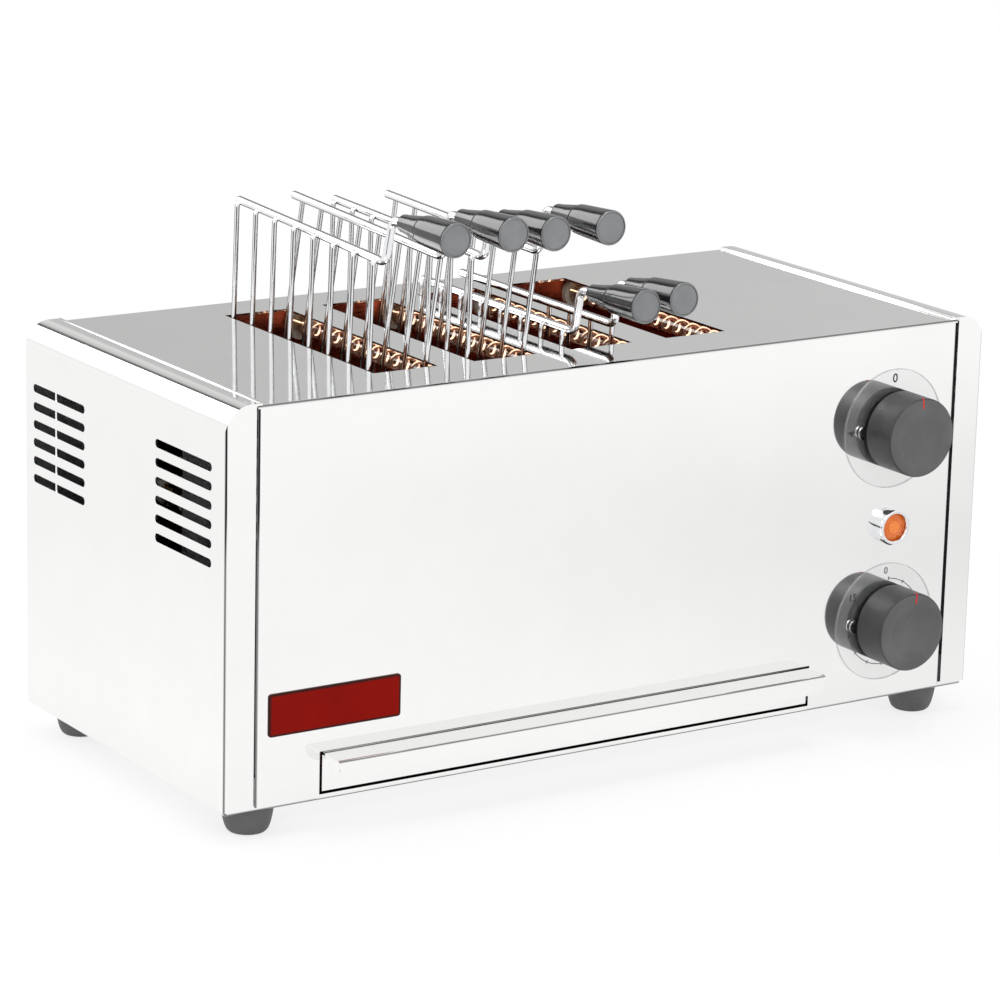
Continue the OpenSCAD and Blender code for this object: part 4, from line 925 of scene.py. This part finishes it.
# %% Rubber feet
FEET_X, FEET_Y, FEET_TOP = (21, 399), (15.5, 176.5), -2.5
SHOULDER_RING = [(2.1, 0), (11.8, 0), (12.1, -0.15), (12.2, -0.4)]
SHOE = [(11.9, -2.5), (11.4, -5.5), (10.8, -8.2), (10.3, -9.8), (9.8, -11), (9.2, -11.9), (8.4, -12.6),
        (7.4, -12.95)]
SCREW_HOLLOW = [(6.2, -13), (4.6, -13), (4.3, -12.7), (4.3, -6.8), (2.1, -6.8)]

form = bmesh.new()
for x in FEET_X:
    for y in FEET_Y:
        turned(form, SHOULDER_RING + SHOE + SCREW_HOLLOW, at(x, y, FEET_TOP), 64, closed=True)
piece("moulded_feet", form, [foot_rubber], "chassis", "rubber_feet", "rubber_feet", crease=30)

# %% [markdown]
# ## Painted shade behind the joints
#
# The end caps meet the front in an open joint of 0.8 mm. The photograph shows it as a clean dark line, and
# what lies behind it doesn't show. Dark grey strips, shaped and finished like foam tape, put painted shade
# into the joints and close the view into the casing here.

# %% Dark strips for the joints' painted shade
SHADE_STRIPS = [  # x from and to, y from and to, z from and to
    (13.4, 15.95, 2.3, 8, 15, 181), (404.05, 406.6, 2.3, 8, 15, 181),
    (15.25, 15.95, 0.6, 0.95, 1, 15), (404.05, 404.75, 0.6, 0.95, 1, 15)]
SHADE_STRIP_CORNER = 0.1

form = bmesh.new()
for low, high, near, far, foot, head in SHADE_STRIPS:
    ring = [(low, near + SHADE_STRIP_CORNER), (low + SHADE_STRIP_CORNER, near), (high - SHADE_STRIP_CORNER, near),
            (high, near + SHADE_STRIP_CORNER), (high, far), (low, far)]
    skin(form, [[at(0, 0, z) @ Vector((x, y, 0)) for x, y in ring] for z in (foot, (foot + head) / 2, head)])
# Painted shade: dark strips that fill the joints.
piece("joint_shade_strips", form, [joint_shade_finish], "chassis", "black_housing", crease=30)

# %% [markdown]
# ## Hems
#
# A sheet that people touch isn't left with a raw edge. The end caps' inner edges are folded under into a
# thin round bead, and so is the upper edge of the tray's front, where it closes against the opening. The
# tray's bead takes the grey of a cut edge, because the photograph shows an even line there.

# %% Hemmed edges
CAP_HEMS_X, CAP_HEM_Z = (17.55, 402.45), 184.8
CAP_HEM = [(1.2, 0.4), (1.4, 0.65), (1.8, 0.8), (96, 0.8), (190.2, 0.8), (190.6, 0.65), (190.8, 0.4)]
TRAY_HEM_Y, TRAY_HEM_Z = 0.5, 20.7
TRAY_HEM = [(51.2, 0.3), (51.5, 0.47), (186, 0.47), (320.7, 0.47), (321, 0.3)]

form = bmesh.new()
for x in CAP_HEMS_X:
    swept(form, [(x, y, CAP_HEM_Z) for y, _ in CAP_HEM], [r for _, r in CAP_HEM], at(), 20)
piece("cap_hems", form, [casing_steel], "chassis", "stainless_casing", crease=50)
form = bmesh.new()
swept(form, [(x, TRAY_HEM_Y, TRAY_HEM_Z) for x, _ in TRAY_HEM], [r for _, r in TRAY_HEM], at(), 16)
piece("tray_hem", form, [edge_steel], "crumb_tray", "stainless_tray_front", crease=50)

# %% [markdown]
# ## The studio
#
# A mirror shows its room, so the room is half of the finish. The air is white in front and nearly so
# close to the floor. Behind the object stand grey walls and a dark one, which only reflections see: they
# give the casing's mirror its greys. Rays that light dull surfaces see an even, slightly dimmer white.

# %% World
WALLS = [(0.0, 1.0), (0.44, 0.95), (0.465, 0.14), (0.545, 0.16), (0.585, 0.62), (0.68, 0.74), (0.72, 0.55),
         (0.78, 0.58), (1.0, 0.8)]
RISE_OF_WALLS = [(0.0, 1.0), (0.52, 1.0), (0.55, 0.95), (0.68, 1.0), (0.85, 0.8), (1.0, 0.9)]
WHITE, NEAR_FLOOR, SOFT_LIGHT = (1, 1, 1, 1), 0.92, 0.75


def ramp(tree, factor, stops):
    """A grey value that follows stops of place and value."""
    made = add(tree, "ValToRGB", {"Fac": factor})
    while len(made.color_ramp.elements) < len(stops):
        made.color_ramp.elements.new(0.5)
    for element, (place, value) in zip(made.color_ramp.elements, stops):
        element.position, element.color = place, (value, value, value, 1)
    return made.outputs[0]


def studio_air():
    world = bpy.data.worlds.new("studio_air")
    bpy.context.scene.world = world
    world.use_nodes = True
    tree = world.node_tree
    tree.nodes.clear()
    way = add(tree, "SeparateXYZ", {0: add(tree, "TexCoord").outputs["Generated"]}).outputs
    walls = ramp(tree, remap(tree, way["X"], -1, 1), WALLS)
    rise = ramp(tree, remap(tree, way["Z"], -1, 1), RISE_OF_WALLS)
    behind = remap(tree, way["Y"], -0.05, 0.3)
    light = mixed(tree, behind, 1.0, reckon(tree, "MULTIPLY", walls, rise), "FLOAT")
    room = mixed(tree, remap(tree, way["Z"], 0.02, 0.12, 0.85), NEAR_FLOOR, light, "FLOAT")
    seen, mirrored, soft = (add(tree, "Background", {"Color": WHITE, "Strength": strength}).outputs[0]
                            for strength in (1, room, SOFT_LIGHT))
    rays = add(tree, "LightPath").outputs
    first = add(tree, "MixShader", {0: rays["Is Glossy Ray"], 1: soft, 2: mirrored})
    direct = reckon(tree, "MAXIMUM", rays["Is Camera Ray"], rays["Is Transmission Ray"])
    last = add(tree, "MixShader", {0: direct, 1: first.outputs[0], 2: seen})
    add(tree, "OutputWorld", {"Surface": last.outputs[0]})


studio_air()
print("world is", bpy.context.scene.world.name)

# %% [markdown]
# The floor is white paper. To the camera and in reflections it shines mostly by itself, and farther off
# wholly so, so that it melts into the white air as in the photograph. Reflections see two things more: a
# dark field far off at the front left, which gives wires and rims a dark edge, and a slight fall of tone
# near the casing, stronger at the right.

# %% Floor
FLOOR_HALF = 6
DARK_SECTOR = [(0.26, 1), (0.31, 0.08), (0.80, 0.08), (0.86, 1)]


def floor_paper():
    made, tree, shader = surface("paper_sweep_white", {"Roughness": 0.9})
    plug(tree, shader, {"Base Color": between(tree, grain(tree, 4), "#F6F6F6", "#F8F8F8")})
    place = add(tree, "TexCoord").outputs["Object"]
    far = add(tree, "VectorMath", {0: place}, operation="LENGTH").outputs["Value"]
    flipped = add(tree, "VectorMath", {0: place, "Scale": -1}, operation="SCALE").outputs[0]
    parts = add(tree, "SeparateXYZ", {0: flipped}).outputs
    rays = add(tree, "LightPath").outputs

    shown = reckon(tree, "MAXIMUM", rays["Is Camera Ray"], rays["Is Glossy Ray"])
    shown = reckon(tree, "MAXIMUM", shown, rays["Is Transmission Ray"])
    factor = reckon(tree, "MULTIPLY", remap(tree, far, 0.2, 0.6, 0.75, 1.0), shown)

    bearing = reckon(tree, "ARCTAN2", parts["X"], parts["Y"])
    dark = ramp(tree, remap(tree, bearing, 0, math.pi / 2), DARK_SECTOR)
    shade = mixed(tree, remap(tree, far, 0.66, 0.74), 1.0, dark, "FLOAT")

    rightwards = remap(tree, parts["X"], -0.05, -0.35, 0.05, 0.17)
    forwards = remap(tree, parts["Y"], 0.75, 0.35)
    kept = reckon(tree, "SUBTRACT", 1.0, reckon(tree, "MULTIPLY", rightwards, forwards))
    tone = reckon(tree, "MULTIPLY", shade, kept)

    power = mixed(tree, rays["Is Glossy Ray"], 1.0, tone, "FLOAT")
    white = add(tree, "Emission", {"Color": WHITE, "Strength": power})
    mix = add(tree, "MixShader", {0: factor, 1: shader.outputs[0], 2: white.outputs[0]})
    plug(tree, tree.nodes["Material Output"], {"Surface": mix.outputs[0]})
    return made


mesh = bpy.data.meshes.new("studio_floor")
form = bmesh.new()
bmesh.ops.create_grid(form, x_segments=8, y_segments=8, size=FLOOR_HALF)
form.to_mesh(mesh)
form.free()
mesh.materials.append(floor_paper())
floor = bpy.data.objects.new("studio_floor", mesh)
bpy.context.scene.collection.objects.link(floor)
print("floor is", floor.dimensions[:2], "m")

# %% [markdown]
# Four soft boxes round the object, as in a product studio: the key from the front left, one behind, one
# at the left side and a strip above. Each is a wide panel, so that shadows stay soft.

# %% Lamps


def soft_box(name, place, aim, width, height, power):
    lamp = bpy.data.lights.new(name, "AREA")
    lamp.shape, lamp.size, lamp.size_y, lamp.energy = "RECTANGLE", width, height, power
    thing = bpy.data.objects.new(name, lamp)
    thing.location = place
    thing.rotation_euler = (Vector(aim) - Vector(place)).to_track_quat("-Z", "Y").to_euler()
    bpy.context.scene.collection.objects.link(thing)


soft_box("key_box", (-0.3, -1.7, 1.3), (0, 0, 0.1), 1.0, 0.5, 7)
soft_box("back_box", (-0.62, 1.35, 0.9), (0, 0, 0.15), 0.9, 0.9, 8)
soft_box("side_box", (-1.5, -0.2, 1.1), (0, 0, 0.1), 0.35, 0.9, 4)
soft_box("top_strip", (0.1, 0.0, 1.9), (0, 0, 0.1), 1.2, 0.4, 9)
print("lamps:", len(bpy.data.lights))
